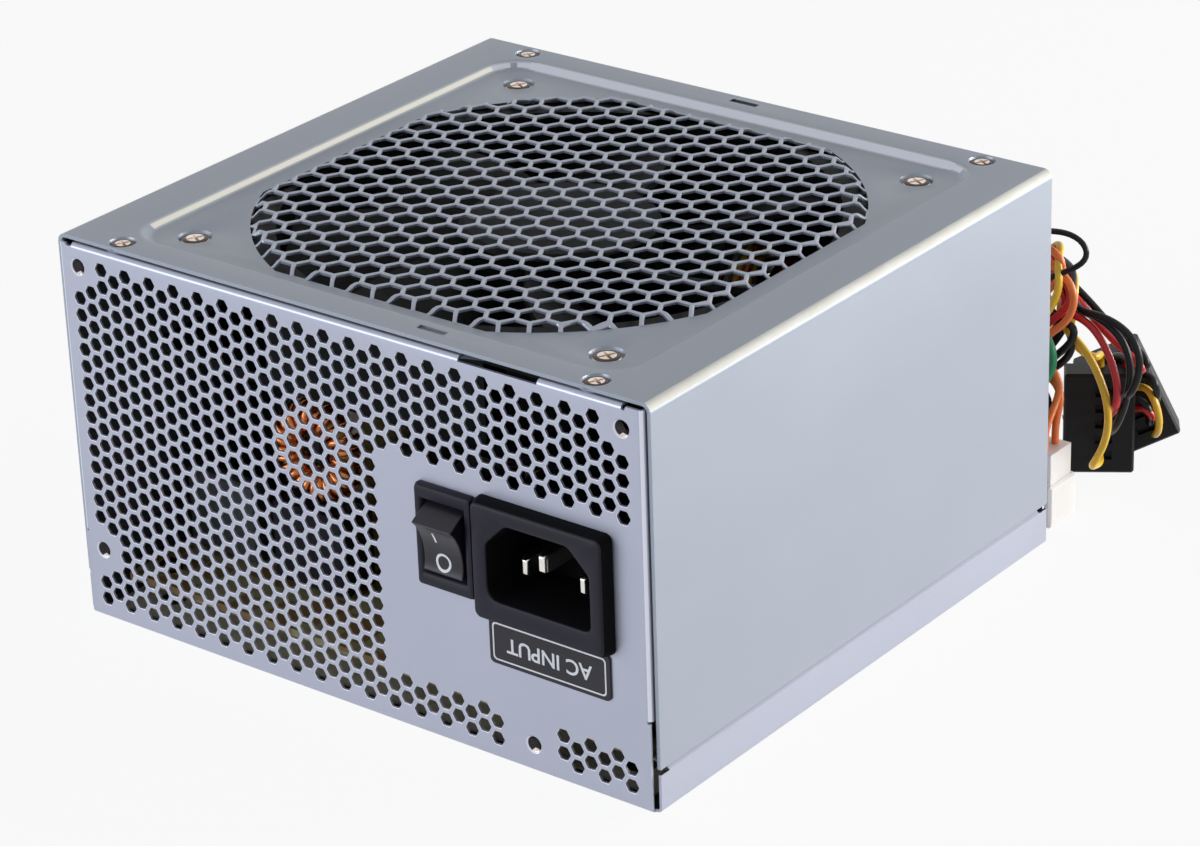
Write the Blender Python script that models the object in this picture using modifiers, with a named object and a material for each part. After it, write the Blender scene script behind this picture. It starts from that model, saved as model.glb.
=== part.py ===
import bpy

for old in list(bpy.data.objects):
    bpy.data.objects.remove(old, do_unlink=True)

import bmesh
from math import sin, cos, pi, radians, sqrt, hypot, atan2
from mathutils import Vector, Matrix

# case
CASE_WIDTH = 0.150
CASE_DEPTH = 0.140
CASE_HEIGHT = 0.086
SHEET = 0.0008
BEND = 0.0012
GAP = 0.0003             # working clearance between neighbouring pieces
RUNNING = 0.0001         # shaft and pivot clearance
SETBACK = 0.0011         # cover edge behind the panel faces
SEAM_HEIGHT = 0.0092     # top of the tray's side strips
SEAM_SLIT = 0.0003
JOG_RISE = 0.0009
TONGUE = 0.0048          # strip tongue that runs up behind the cover
PANEL_STEP = 0.0014      # lower panel edge inside the case width
NOTCH_HEIGHT = 0.0194
NOTCH_SLIT = 0.0005
CORNER_RELIEF = 0.0036   # top flange ends this far inside the case width
CORNER_DROP = 0.0013
FLANGE_LENGTH = 0.0065
SIDE_FLANGE = 0.010
WINDOW_LEFT = 0.0304     # gap in the front flange
WINDOW_RIGHT = 0.0494

# top field and grille
FIELD_INSET = 0.012      # field edge from the case sides
FIELD_EDGE_Y = 0.007     # field edge from the case ends
FIELD_DEPTH = 0.0016
FIELD_SLOPE = 0.0015
FIELD_CORNER = 0.0065
GRILLE_REACH = 0.003     # grille outline beyond the fan's half width
GRILLE_TRIM = 0.006      # straight sides inside the grille's circle
GRILLE_RISE = 0.0013
GRILLE_SLOPE = 0.0017
GRILLE_PITCH = 0.0112
GRILLE_HOLE = 0.0097
GRILLE_MARGIN = 0.0006
SLOT_LENGTH = 0.0070
SLOT_WIDTH = 0.0014

# vents
VENT_PITCH = 0.0088
VENT_HOLE = 0.0071
VENT_BOTTOM = 0.0075
VENT_SIDE = 0.0130        # last column from the case sides
MOUNT_HOLE = 0.0035
MOUNT_INSET = 0.006      # mounting holes from the panel's edges
MOUNT_LOW_LEFT = 0.016
MOUNT_LOW_RIGHT = 0.030

# screws
COVER_SCREW_INSET = (0.0149, 0.0045)   # from the case sides and ends
SCREW_HEAD = 0.0052
SCREW_SHANK = 0.0030
SCREW_LENGTH = 0.0062
FAN_SCREW_HEAD = 0.0060
FAN_SCREW_SHANK = 0.0040
FAN_SCREW_LENGTH = 0.0100
HEAD_CROWN = 0.0005
HEAD_SINK = 0.00065

# fan
FAN_SIDE_ROOM = 0.015    # case side to the fan's frame
FAN_END_ROOM = 0.010
FAN_THICKNESS = 0.025
FAN_HOLE_INSET = 0.0075
FAN_RIM = 0.002          # frame left outside the duct
FAN_FLANGE = 0.004
HUB_RADIUS = 0.021
HUB_WALL = 0.0016
BLADE_COUNT = 7
BLADE_TIP_CLEARANCE = 0.0015
SHAFT_RADIUS = 0.0015
TUBE_RADIUS = 0.005

# switch
SWITCH_BESIDE = 0.0240   # switch centre from the socket's
SWITCH_BEZEL = (0.0143, 0.0219)
SWITCH_PROUD = 0.0018
SWITCH_BODY = (0.0128, 0.0200)
SWITCH_DEPTH = 0.0160
ROCKER_WIDTH = 0.0097
ROCKER_RADIUS = 0.0074
ROCKER_OPENING = 0.0078
ROCKER_EDGE = radians(52)
ROCKER_TILT = radians(15)
PIVOT_DEPTH = 0.0004

# inlet
INLET_FROM_SIDE = 0.0249
INLET_BELOW_FAN = 0.0129
INLET_BEZEL = (0.0165, 0.0160, 0.0136, 0.0121)    # reach from the centre: left, right, down, up
INLET_PROUD = 0.0032
INLET_OPENING = (0.0249, 0.0168)
INLET_CHAMFER = 0.0050
INLET_BODY = (0.0143, 0.0144, 0.0114, 0.0106)
INLET_CAVITY = 0.0165
INLET_BACK = 0.0065
PIN_WIDTH = 0.0020
PIN_HEIGHT = 0.0040
PIN_SPREAD = 0.0070
PIN_TAIL = 0.0060

# board and parts on it
BOARD_CLEAR = 0.0070     # board edge from the case sides
BOARD_LEVEL = 0.0070
BOARD_THICKNESS = 0.0016
POST_RADIUS = 0.0030
POST_INSET_X = 0.013
POST_INSET_Y = 0.012
COIL_RADIUS = 0.0080
COIL_SECTION = 0.0037
COIL_BELOW_FAN = 0.0078
LABEL_HALF = (0.0147, 0.0050)
LABEL_BELOW = 0.0189     # label centre from the socket's

# cables
EXIT_HEIGHT = 0.050
MAIN_RADIUS = 0.0050
DRIVE_RADIUS = 0.0033
EXIT_X = 0.0015
EXIT_SPACING = 0.0090
GROMMET_BORE = 0.0093
GROMMET_NECK = 0.0114
GROMMET_FLANGE = 0.0136
SILO_COLUMNS = 12        # the long connector's contact cavities
SILO_PITCH = 0.0042
SILO_HOLE = 0.0030
SILO_DEPTH = 0.0080
LATCH_HALF = 0.0036
PLUG_WIDTH = 0.0240
PLUG_THICKNESS = 0.0066
PLUG_LENGTH = 0.0156
PLUG_SOCKET = 0.0050     # depth of the mating slot
PLUG_PITCH = 0.0038      # wire slots in the back
PLUG_TURN = radians(33)
PLUG_LEAN = radians(25)

halfX = CASE_WIDTH / 2
halfY = CASE_DEPTH / 2
coverY = halfY - SETBACK
flangeTop = CASE_HEIGHT - SHEET - GAP
sideX = halfX - SHEET - GAP
boardTop = BOARD_LEVEL + BOARD_THICKNESS
seat = boardTop + GAP
fieldZ = CASE_HEIGHT - FIELD_DEPTH
fanTop = fieldZ - SHEET - GAP
fanBottom = fanTop - FAN_THICKNESS
frontY = -halfY
fanSize = 2 * min(halfX - FAN_SIDE_ROOM, halfY - FAN_END_ROOM)
ductRadius = fanSize / 2 - FAN_RIM
grilleRadius = fanSize / 2 + GRILLE_REACH
grilleFlat = grilleRadius - GRILLE_TRIM
holeX = halfX - MOUNT_INSET
mounts = ((-holeX, CASE_HEIGHT - MOUNT_INSET), (-holeX, MOUNT_LOW_LEFT), (holeX, CASE_HEIGHT - MOUNT_INSET),
          (halfX - MOUNT_LOW_RIGHT, MOUNT_INSET))
inletX = halfX - INLET_FROM_SIDE
inletZ = fanBottom - INLET_BELOW_FAN
switchX = inletX - SWITCH_BESIDE
switchZ = inletZ

pieces = bpy.data.collections.new("power supply unit")
cutters = bpy.data.collections.new("cutters")
bpy.context.scene.collection.children.link(pieces)
bpy.context.scene.collection.children.link(cutters)


def finish(name, colour, metallic, roughness):
    mat = bpy.data.materials.new(name)
    mat.use_nodes = True
    node = mat.node_tree.nodes["Principled BSDF"]
    node.inputs["Base Color"].default_value = (*colour, 1)
    node.inputs["Metallic"].default_value = metallic
    node.inputs["Roughness"].default_value = roughness
    return mat


looks = {
    "steel": ((0.55, 0.57, 0.62), 0.9, 0.38),
    "steel cover": ((0.50, 0.53, 0.58), 0.9, 0.40),
    "nickel": ((0.62, 0.58, 0.52), 1.0, 0.25),
    "black": ((0.02, 0.02, 0.022), 0.0, 0.45),
    "pin": ((0.75, 0.73, 0.70), 1.0, 0.22),
    "board": ((0.45, 0.33, 0.14), 0.0, 0.5),
    "film": ((0.80, 0.76, 0.62), 0.0, 0.5),
    "alloy": ((0.70, 0.71, 0.72), 0.9, 0.4),
    "ferrite": ((0.08, 0.08, 0.085), 0.1, 0.6),
    "tape": ((0.80, 0.60, 0.10), 0.0, 0.45),
    "copper": ((0.62, 0.26, 0.10), 0.8, 0.35),
    "green": ((0.05, 0.30, 0.08), 0.0, 0.45),
    "blue": ((0.05, 0.12, 0.45), 0.0, 0.45),
    "brown": ((0.20, 0.08, 0.03), 0.0, 0.45),
    "yellow": ((0.85, 0.60, 0.03), 0.0, 0.45),
    "red": ((0.55, 0.02, 0.03), 0.0, 0.45),
    "orange": ((0.85, 0.22, 0.04), 0.0, 0.45),
    "nylon": ((0.82, 0.80, 0.76), 0.0, 0.4),
}


def put(name, data, look, collection=None):
    ob = bpy.data.objects.new(name, data)
    (collection or pieces).objects.link(ob)
    if collection is cutters:
        ob.hide_render = True
        ob.display_type = "WIRE"
    elif look:
        colour, metallic, roughness = looks[look]
        data.materials.append(finish(name, colour, metallic, roughness))
    return ob


def from_bmesh(name, bm, look, collection=None):
    bmesh.ops.recalc_face_normals(bm, faces=bm.faces)
    mesh = bpy.data.meshes.new(name)
    bm.to_mesh(mesh)
    bm.free()
    return put(name, mesh, look, collection)


def add_box(bm, x0, x1, y0, y1, z0, z1):
    size = Matrix.Diagonal((x1 - x0, y1 - y0, z1 - z0, 1))
    centre = Matrix.Translation(((x0 + x1) / 2, (y0 + y1) / 2, (z0 + z1) / 2))
    bmesh.ops.create_cube(bm, size=1, matrix=centre @ size)


def add_rod(bm, centre, radius, depth, axis="Z", sides=16, radius2=None, turn=0.0):
    """a straight rod, hexagonal when sides is 6"""
    spin = {"Z": Matrix.Identity(4), "Y": Matrix.Rotation(pi / 2, 4, "X"),
            "X": Matrix.Rotation(pi / 2, 4, "Y")}[axis]
    place = Matrix.Translation(centre) @ spin @ Matrix.Rotation(turn, 4, "Z")
    bmesh.ops.create_cone(bm, cap_ends=True, segments=sides, radius1=radius,
                          radius2=radius if radius2 is None else radius2, depth=depth, matrix=place)


def add_prism(bm, outline, lift, low, high):
    """a flat outline carried from low to high; lift turns (u, v, w) into a point"""
    face = bm.faces.new([bm.verts.new(lift(u, v, low)) for u, v in outline])
    grown = bmesh.ops.extrude_face_region(bm, geom=[face])
    shift = Vector(lift(0, 0, high)) - Vector(lift(0, 0, low))
    bmesh.ops.translate(bm, vec=shift, verts=[g for g in grown["geom"] if isinstance(g, bmesh.types.BMVert)])


def along_y(u, v, w):
    return (u, w, v)


def along_z(u, v, w):
    return (u, v, w)


def along_x(u, v, w):
    return (w, u, v)


def box(name, look, x0, x1, y0, y1, z0, z1, bevel=0.0, steps=1):
    bm = bmesh.new()
    add_box(bm, x0, x1, y0, y1, z0, z1)
    ob = from_bmesh(name, bm, look)
    if bevel:
        add_bevel(ob, bevel, steps)
    return ob


def prism(name, look, outline, lift, low, high, collection=None):
    bm = bmesh.new()
    add_prism(bm, outline, lift, low, high)
    return from_bmesh(name, bm, look, collection)


def add_bevel(ob, width, steps=1):
    mod = ob.modifiers.new("edges", "BEVEL")
    mod.width = width
    mod.segments = steps
    mod.limit_method = "ANGLE"
    mod.angle_limit = radians(50)
    mod.use_clamp_overlap = True


def combine(ob, other, operation):
    mod = ob.modifiers.new(other.name, "BOOLEAN")
    mod.operation = operation
    mod.solver = "EXACT"
    mod.object = other


def cut(ob, bm, name):
    combine(ob, from_bmesh(name, bm, None, cutters), "DIFFERENCE")


def join(ob, bm, name):
    tool = from_bmesh(name, bm, None, cutters)
    combine(ob, tool, "UNION")
    return tool


def turned(name, look, profile, centre, steps=24, collection=None):
    """a turned solid; the profile holds (radius, height) pairs, top to bottom on the outside"""
    mesh = bpy.data.meshes.new(name)
    closed = profile[0][0] > 0
    count = len(profile)
    edges = [(i, i + 1) for i in range(count - 1)] + ([(count - 1, 0)] if closed else [])
    mesh.from_pydata([(r, 0, z) for r, z in profile], edges, [])
    ob = put(name, mesh, look, collection)
    mod = ob.modifiers.new("turn", "SCREW")
    mod.axis = "Z"
    mod.angle = 2 * pi
    mod.steps = steps
    mod.render_steps = steps
    mod.use_merge_vertices = True
    mod.merge_threshold = 0.00002
    mod.use_normal_calculate = False
    ob.location = centre
    return ob


def smooth(points, steps=5):
    """a flowing line through the given points"""
    pts = [Vector(p) for p in points]
    pts = [2 * pts[0] - pts[1]] + pts + [2 * pts[-1] - pts[-2]]
    line = []
    for a, b, c, d in zip(pts, pts[1:], pts[2:], pts[3:]):
        for i in range(steps):
            t = i / steps
            line.append(0.5 * ((2 * b) + (c - a) * t + (2 * a - 5 * b + 4 * c - d) * t * t
                               + (3 * b - a - 3 * c + d) * t ** 3))
    return line + [pts[-2]]


def tube(name, look, points, radius, steps=5, resolution=2):
    curve = bpy.data.curves.new(name, "CURVE")
    curve.dimensions = "3D"
    curve.bevel_depth = radius
    curve.bevel_resolution = resolution
    curve.use_fill_caps = True
    line = smooth(points, steps)
    spline = curve.splines.new("POLY")
    spline.points.add(len(line) - 1)
    for point, co in zip(spline.points, line):
        point.co = (*co, 1)
    return put(name, curve, look)


# ---------------------------------------------------------------- sheet metal


def quarter(a, b, radius, steps=3):
    a, b = Vector(a), Vector(b)
    angles = [pi / 2 * (i + 1) / steps for i in range(steps)]
    return [a * radius * sin(t) + b * radius * (1 - cos(t)) for t in angles]


def fold(bm, edge, offsets):
    base = [v.co.copy() for v in edge]
    row = edge
    for offset in offsets:
        nextRow = [bm.verts.new(co + Vector(offset)) for co in base]
        for i in range(len(row) - 1):
            bm.faces.new((row[i], row[i + 1], nextRow[i + 1], nextRow[i]))
        row = nextRow
    return row


def sheet_metal(name, look, bm, outward):
    """thickens the open skin; outward is a point seen from outside and the normal it must have"""
    bmesh.ops.recalc_face_normals(bm, faces=bm.faces)
    spot, normal = Vector(outward[0]), Vector(outward[1])
    nearest = min(bm.faces, key=lambda f: (f.calc_center_median() - spot).length)
    if nearest.normal.dot(normal) < 0:
        bmesh.ops.reverse_faces(bm, faces=bm.faces)
    mesh = bpy.data.meshes.new(name)
    bm.to_mesh(mesh)
    bm.free()
    ob = put(name, mesh, look)
    mod = ob.modifiers.new("sheet", "SOLIDIFY")
    mod.thickness = SHEET
    mod.offset = -1
    mod.use_even_offset = True
    return ob


def hexes(bm, spots, across, axis, depth):
    for spot in spots:
        add_rod(bm, spot, across / sqrt(3), depth, axis, 6, turn=pi / 6)


panelX = halfX - PANEL_STEP
foldX = sideX - BEND
reliefX = halfX - CORNER_RELIEF
foldTop = flangeTop - BEND
reliefZ = flangeTop - CORNER_DROP
stripX = halfX - BEND
stripY = halfY - BEND - 0.0002
tongueY = halfY - 0.004


def end_panel(bm, side, window):
    y = side * halfY
    inward = (0, -side, 0)
    outline = [(-panelX, BEND), (panelX, BEND), (panelX, NOTCH_HEIGHT), (foldX, NOTCH_HEIGHT),
               (foldX, NOTCH_HEIGHT + NOTCH_SLIT), (foldX, reliefZ), (reliefX, reliefZ), (reliefX, foldTop)]
    if window:
        outline += [(WINDOW_RIGHT, foldTop), (WINDOW_LEFT, foldTop)]
    outline += [(-reliefX, foldTop), (-reliefX, reliefZ), (-foldX, reliefZ),
                (-foldX, NOTCH_HEIGHT + NOTCH_SLIT), (-foldX, NOTCH_HEIGHT), (-panelX, NOTCH_HEIGHT)]
    corner = [bm.verts.new((x, y, z)) for x, z in outline]
    bm.faces.new(corner)
    topFold = quarter((0, 0, 1), inward, BEND)
    topFold.append(topFold[-1] + Vector(inward) * (FLANGE_LENGTH - BEND))
    if window:
        fold(bm, [corner[7], corner[8]], topFold)
        fold(bm, [corner[9], corner[10]], topFold)
    else:
        fold(bm, [corner[7], corner[8]], topFold)
    last = len(corner)
    for sign, edge in ((1, [corner[4], corner[5]]), (-1, [corner[last - 4], corner[last - 3]])):
        sideFold = quarter((sign, 0, 0), inward, BEND)
        sideFold.append(sideFold[-1] + Vector(inward) * (SIDE_FLANGE - BEND))
        fold(bm, edge, sideFold)
    return fold(bm, [corner[0], corner[1]], quarter((0, 0, -1), inward, BEND))


bm = bmesh.new()
frontRow = end_panel(bm, -1, True)
rearRow = end_panel(bm, 1, False)
right = [bm.verts.new((stripX, y, 0)) for y in (-stripY, stripY)]
left = [bm.verts.new((-stripX, y, 0)) for y in (-stripY, stripY)]
bm.faces.new([frontRow[0], frontRow[1], right[0], right[1], rearRow[1], rearRow[0], left[1], left[0]])
for sign, edge in ((1, right), (-1, left)):
    low = fold(bm, edge, quarter((sign, 0, 0), (0, 0, 1), BEND))
    high = [bm.verts.new((sign * halfX, y, SEAM_HEIGHT - JOG_RISE))
            for y in (-stripY, -tongueY, tongueY, stripY)]
    bm.faces.new([low[0], low[1], high[3], high[2], high[1], high[0]])
    inset = sign * (sideX - halfX)
    fold(bm, high[1:3], [(inset, 0, JOG_RISE), (inset, 0, JOG_RISE + TONGUE)])
chassis = sheet_metal("chassis_base", "steel", bm, ((0, frontY, 0.04), (0, -1, 0)))

postX = halfX - POST_INSET_X
postY = halfY - POST_INSET_Y
posts = [(sx * postX, sy * postY) for sy in (-1, 1) for sx in (-1, 1)]
bm = bmesh.new()
postTop = BOARD_LEVEL - GAP
for x, y in posts:
    add_rod(bm, (x, y, (postTop + SHEET / 2) / 2), POST_RADIUS, postTop - SHEET / 2, sides=12)
join(chassis, bm, "posts")


def vent_open(x, z):
    """whether a vent hole belongs at this place on the front panel"""
    reach = VENT_PITCH / sqrt(3)
    if z + reach > foldTop - 0.0005 or z - reach < BEND + 0.001:
        return False
    if x > switchX - 0.0130 and 0.0100 < z < inletZ + INLET_BEZEL[3] + 0.0030:
        return False
    for mx, mz in mounts:
        if hypot(x - mx, z - mz) < MOUNT_HOLE / 2 + reach + 0.0006:
            return False
    return True


bm = bmesh.new()
columnStep = VENT_PITCH * sqrt(3) / 2
lastColumn = int((halfX - VENT_SIDE) / columnStep)
spots = []
for c in range(-lastColumn, lastColumn + 1):
    for r in range(int(CASE_HEIGHT / VENT_PITCH) + 2):
        x = c * columnStep
        z = VENT_BOTTOM + VENT_PITCH * r + (VENT_PITCH / 2 if c % 2 else 0)
        if vent_open(x, z):
            spots.append((x, frontY + SHEET / 2, z))
hexes(bm, spots, VENT_HOLE, "Y", 4 * SHEET)
for x, z in mounts:
    add_rod(bm, (x, frontY + SHEET / 2, z), MOUNT_HOLE / 2, 4 * SHEET, "Y", 12)
switchHole = (SWITCH_BODY[0] / 2 + GAP, SWITCH_BODY[1] / 2 + GAP)
add_box(bm, switchX - switchHole[0], switchX + switchHole[0], frontY - SHEET, frontY + 2 * SHEET,
        switchZ - switchHole[1], switchZ + switchHole[1])
bodyX0, bodyX1 = inletX - INLET_BODY[0], inletX + INLET_BODY[1]
bodyZ0, bodyZ1 = inletZ - INLET_BODY[2], inletZ + INLET_BODY[3]
add_box(bm, bodyX0 - GAP, bodyX1 + GAP, frontY - SHEET, frontY + 2 * SHEET, bodyZ0 - GAP, bodyZ1 + GAP)
exitCentre = EXIT_X - MAIN_RADIUS + (2 * MAIN_RADIUS + EXIT_SPACING - MAIN_RADIUS + DRIVE_RADIUS) / 2
add_rod(bm, (exitCentre, halfY - SHEET / 2, EXIT_HEIGHT), GROMMET_NECK + GAP, 4 * SHEET, "Y", 32)
screwX, screwY = halfX - COVER_SCREW_INSET[0], halfY - COVER_SCREW_INSET[1]
coverScrews = [(sx * screwX, sy * screwY) for sy in (-1, 1) for sx in (-1, 1)]
for x, y in coverScrews:
    add_rod(bm, (x, y, flangeTop - SHEET / 2), SCREW_SHANK / 2 + GAP, 4 * SHEET, sides=12)
for x, y in posts:
    add_rod(bm, (x, y, postTop), 0.0017, 2 * 0.0045, sides=12)
cut(chassis, bm, "panel holes")

# ---------------------------------------------------------------- cover


def rounded_rect(hx, hy, radius, z, steps=5):
    pts = []
    for k, (sx, sy) in enumerate(((1, 1), (-1, 1), (-1, -1), (1, -1))):
        for i in range(steps + 1):
            t = (k + i / steps) * pi / 2
            pts.append((sx * (hx - radius) + radius * cos(t), sy * (hy - radius) + radius * sin(t), z))
    return pts


def trimmed_circle(radius, flat, z, steps=8):
    """a circle cut off straight on its four sides"""
    half = sqrt(radius ** 2 - flat ** 2)
    start = atan2(half, flat)
    pts = []
    for k in range(4):
        for i in range(steps + 1):
            t = k * pi / 2 + start + (pi / 2 - 2 * start) * i / steps
            pts.append((radius * cos(t), radius * sin(t), z))
    return pts


def ring(bm, pts):
    return [bm.verts.new(p) for p in pts]


def loop_edges(bm, verts):
    return [bm.edges.get((a, b)) or bm.edges.new((a, b)) for a, b in zip(verts, verts[1:] + verts[:1])]


def bridge(bm, a, b):
    for i in range(len(a)):
        j = (i + 1) % len(a)
        bm.faces.new((a[i], a[j], b[j], b[i]))


fieldX = halfX - FIELD_INSET
fieldY = halfY - FIELD_EDGE_Y
bm = bmesh.new()
corners = ring(bm, [(stripX, -coverY, CASE_HEIGHT), (stripX, coverY, CASE_HEIGHT),
                    (-stripX, coverY, CASE_HEIGHT), (-stripX, -coverY, CASE_HEIGHT)])
outer = ring(bm, rounded_rect(fieldX, fieldY, FIELD_CORNER, CASE_HEIGHT))
inner = ring(bm, rounded_rect(fieldX - FIELD_SLOPE, fieldY - FIELD_SLOPE, FIELD_CORNER - FIELD_SLOPE, fieldZ))
foot = ring(bm, trimmed_circle(grilleRadius, grilleFlat, fieldZ))
crown = ring(bm, trimmed_circle(grilleRadius - GRILLE_SLOPE, grilleFlat - GRILLE_SLOPE, fieldZ + GRILLE_RISE))
bmesh.ops.triangle_fill(bm, use_beauty=True, edges=loop_edges(bm, corners) + loop_edges(bm, outer))
bridge(bm, outer, inner)
bmesh.ops.triangle_fill(bm, use_beauty=True, edges=loop_edges(bm, inner) + loop_edges(bm, foot))
bridge(bm, foot, crown)
bm.faces.new(crown)
drop = CASE_HEIGHT - SEAM_HEIGHT - SEAM_SLIT
for sign, edge in ((1, corners[:2]), (-1, corners[2:])):
    down = quarter((sign, 0, 0), (0, 0, -1), BEND)
    down.append(down[-1] + Vector((0, 0, BEND - drop)))
    fold(bm, edge, down)
cover = sheet_metal("top_cover", "steel cover", bm, ((0, 0, CASE_HEIGHT), (0, 0, 1)))

bm = bmesh.new()
rowStep = GRILLE_PITCH * sqrt(3) / 2
spots = []
hexReach = GRILLE_HOLE / sqrt(3) + GRILLE_MARGIN
topFlat = grilleFlat - GRILLE_SLOPE
topRadius = grilleRadius - GRILLE_SLOPE
for c in range(-7, 8):
    for r in range(-7, 8):
        x = c * rowStep
        y = r * GRILLE_PITCH + (GRILLE_PITCH / 2 if c % 2 else 0)
        if hypot(x, y) + hexReach < topRadius and max(abs(x), abs(y)) + hexReach < topFlat:
            spots.append((x, y, fieldZ + GRILLE_RISE - SHEET / 2))
hexes(bm, spots, GRILLE_HOLE, "Z", 3 * SHEET)
fanHole = fanSize / 2 - FAN_HOLE_INSET
fanScrews = [(sx * fanHole, sy * fanHole) for sy in (-1, 1) for sx in (-1, 1)]
for spots, level, head, shank in ((coverScrews, CASE_HEIGHT, SCREW_HEAD, SCREW_SHANK),
                                  (fanScrews, fieldZ, FAN_SCREW_HEAD, FAN_SCREW_SHANK)):
    slope = (head - shank) / 2 / HEAD_SINK
    wide = head / 2 + GAP
    for x, y in spots:
        add_rod(bm, (x, y, level - 0.0004), wide - slope * 0.0010, 0.0012, sides=16,
                radius2=wide + slope * 0.0002)
for x, y in ((0.0202, -coverY + 0.0040), (-0.0010, coverY - 0.0028)):
    add_box(bm, x - SLOT_LENGTH / 2, x + SLOT_LENGTH / 2, y - SLOT_WIDTH / 2, y + SLOT_WIDTH / 2,
            CASE_HEIGHT - 2 * SHEET, CASE_HEIGHT + SHEET)
cut(cover, bm, "cover holes")


def screw(name, centre, head, shank, length):
    crown = head / 2
    turned(name, "nickel", [(0, HEAD_CROWN), (crown * 0.55, HEAD_CROWN * 0.9), (crown * 0.85, HEAD_CROWN * 0.5),
                            (crown, 0), (shank / 2, -HEAD_SINK), (shank / 2, -length + 0.0005),
                            (shank / 2 - 0.0005, -length), (0, -length)], centre, 12)


for i, (x, y) in enumerate(coverScrews):
    screw("cover_screw_%d" % (i + 1), (x, y, CASE_HEIGHT), SCREW_HEAD, SCREW_SHANK, SCREW_LENGTH)
for i, (x, y) in enumerate(fanScrews):
    screw("fan_screw_%d" % (i + 1), (x, y, fieldZ), FAN_SCREW_HEAD, FAN_SCREW_SHANK, FAN_SCREW_LENGTH)

# ---------------------------------------------------------------- fan

half = fanSize / 2
frame = box("fan_frame", "black", -half, half, -half, half, fanBottom, fanTop, 0.004, 2)
frame.modifiers["edges"].angle_limit = radians(80)
bm = bmesh.new()
add_rod(bm, (0, 0, (fanTop + fanBottom) / 2), ductRadius, FAN_THICKNESS * 1.4, sides=48)
pocketR = ductRadius + 0.0022
arc = [(pocketR * cos(radians(a)), pocketR * sin(radians(a))) for a in (62, 53, 45, 37, 28)]
reach = half + 0.001
pocket = [(reach, reach), (arc[0][0], reach)] + arc + [(reach, arc[-1][1])]
for sx, sy in ((1, 1), (-1, 1), (-1, -1), (1, -1)):
    add_prism(bm, [(sx * u, sy * v) for u, v in pocket], along_z, fanBottom + FAN_FLANGE, fanTop - FAN_FLANGE)
cut(frame, bm, "fan duct")
bm = bmesh.new()
for x, y in fanScrews:
    add_rod(bm, (x, y, (fanTop + fanBottom) / 2), FAN_SCREW_SHANK / 2 + GAP, FAN_THICKNESS * 1.4, sides=12)
cut(frame, bm, "fan screw holes")
plateTop = fanBottom + 0.003
tubeTop = fanTop - 0.0065
bm = bmesh.new()
for k in range(4):
    before = set(bm.verts)
    add_box(bm, 0.012, ductRadius + 0.001, -0.0025, 0.0025, fanBottom, plateTop + 0.0004)
    bmesh.ops.rotate(bm, cent=(0, 0, 0), matrix=Matrix.Rotation(pi / 4 + k * pi / 2, 3, "Z"),
                     verts=[v for v in bm.verts if v not in before])
join(frame, bm, "fan struts")
join_plate = turned("motor plate", None, [(0, tubeTop), (TUBE_RADIUS, tubeTop), (TUBE_RADIUS, plateTop),
                                          (HUB_RADIUS, plateTop), (HUB_RADIUS, fanBottom), (0, fanBottom)],
                    (0, 0, 0), 24, cutters)
combine(frame, join_plate, "UNION")
bm = bmesh.new()
boreR = 0.0038
add_rod(bm, (0, 0, (plateTop + tubeTop + 0.002) / 2), boreR, tubeTop + 0.002 - plateTop, sides=24)
cut(frame, bm, "bearing bore")

bearingTop = tubeTop - 0.0003
turned("fan_bearing", "pin", [(boreR - GAP, bearingTop), (boreR - GAP, plateTop + GAP),
                              (SHAFT_RADIUS + RUNNING, plateTop + GAP), (SHAFT_RADIUS + RUNNING, bearingTop)],
       (0, 0, 0), 20)
hubTop = fanTop - 0.0010
hubBottom = plateTop + 0.0018
capBottom = hubTop - 0.0018
bossBottom = tubeTop + 0.0008
holeTop = hubTop - 0.0010
shaftBottom = plateTop + 2 * GAP
turned("fan_shaft", "pin", [(0, holeTop - GAP), (SHAFT_RADIUS, holeTop - GAP), (SHAFT_RADIUS, shaftBottom),
                            (0, shaftBottom)], (0, 0, 0), 12)
innerR = HUB_RADIUS - HUB_WALL
rotor = turned("fan_rotor", "black", [
    (0, hubTop), (HUB_RADIUS - 0.0015, hubTop), (HUB_RADIUS, hubTop - 0.0010), (HUB_RADIUS, hubBottom),
    (innerR, hubBottom), (innerR, capBottom), (0.0038, capBottom), (0.0038, bossBottom),
    (SHAFT_RADIUS + RUNNING, bossBottom), (SHAFT_RADIUS + RUNNING, holeTop), (0, holeTop)], (0, 0, 0), 28)
bm = bmesh.new()
tip = ductRadius - BLADE_TIP_CLEARANCE
bladeMid = (hubTop + hubBottom) / 2
for k in range(BLADE_COUNT):
    rows = []
    for i in range(4):
        u = i / 3
        r = (HUB_RADIUS - 0.0008) * (1 - u) + tip * u
        row = []
        for j in range(4):
            t = j / 3 - 0.5
            turn = k * 2 * pi / BLADE_COUNT + radians(16 * u) + radians(40 - 6 * u) * t
            bow = 0.0012 * (1 - (2 * t) ** 2)
            z = bladeMid - (0.0135 - 0.0015 * u) * t + bow
            row.append(bm.verts.new((r * cos(turn), r * sin(turn), z)))
        rows.append(row)
    for a, b in zip(rows, rows[1:]):
        for j in range(3):
            bm.faces.new((a[j], a[j + 1], b[j + 1], b[j]))
blades = join(rotor, bm, "fan blades")
mod = blades.modifiers.new("blade", "SOLIDIFY")
mod.thickness = 0.0013
mod.offset = 0
outline = []
for k in range(4):
    base = k * pi / 2
    for angle, r in ((-38, 0.0170), (-19, 0.0172), (0, 0.0173), (19, 0.0172), (38, 0.0170), (45, 0.0090)):
        outline.append((r * cos(base + radians(angle)), r * sin(base + radians(angle))))
statorOb = prism("fan_stator", "copper", outline, along_z, plateTop + 0.0035, capBottom - 0.0040)
bm = bmesh.new()
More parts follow.
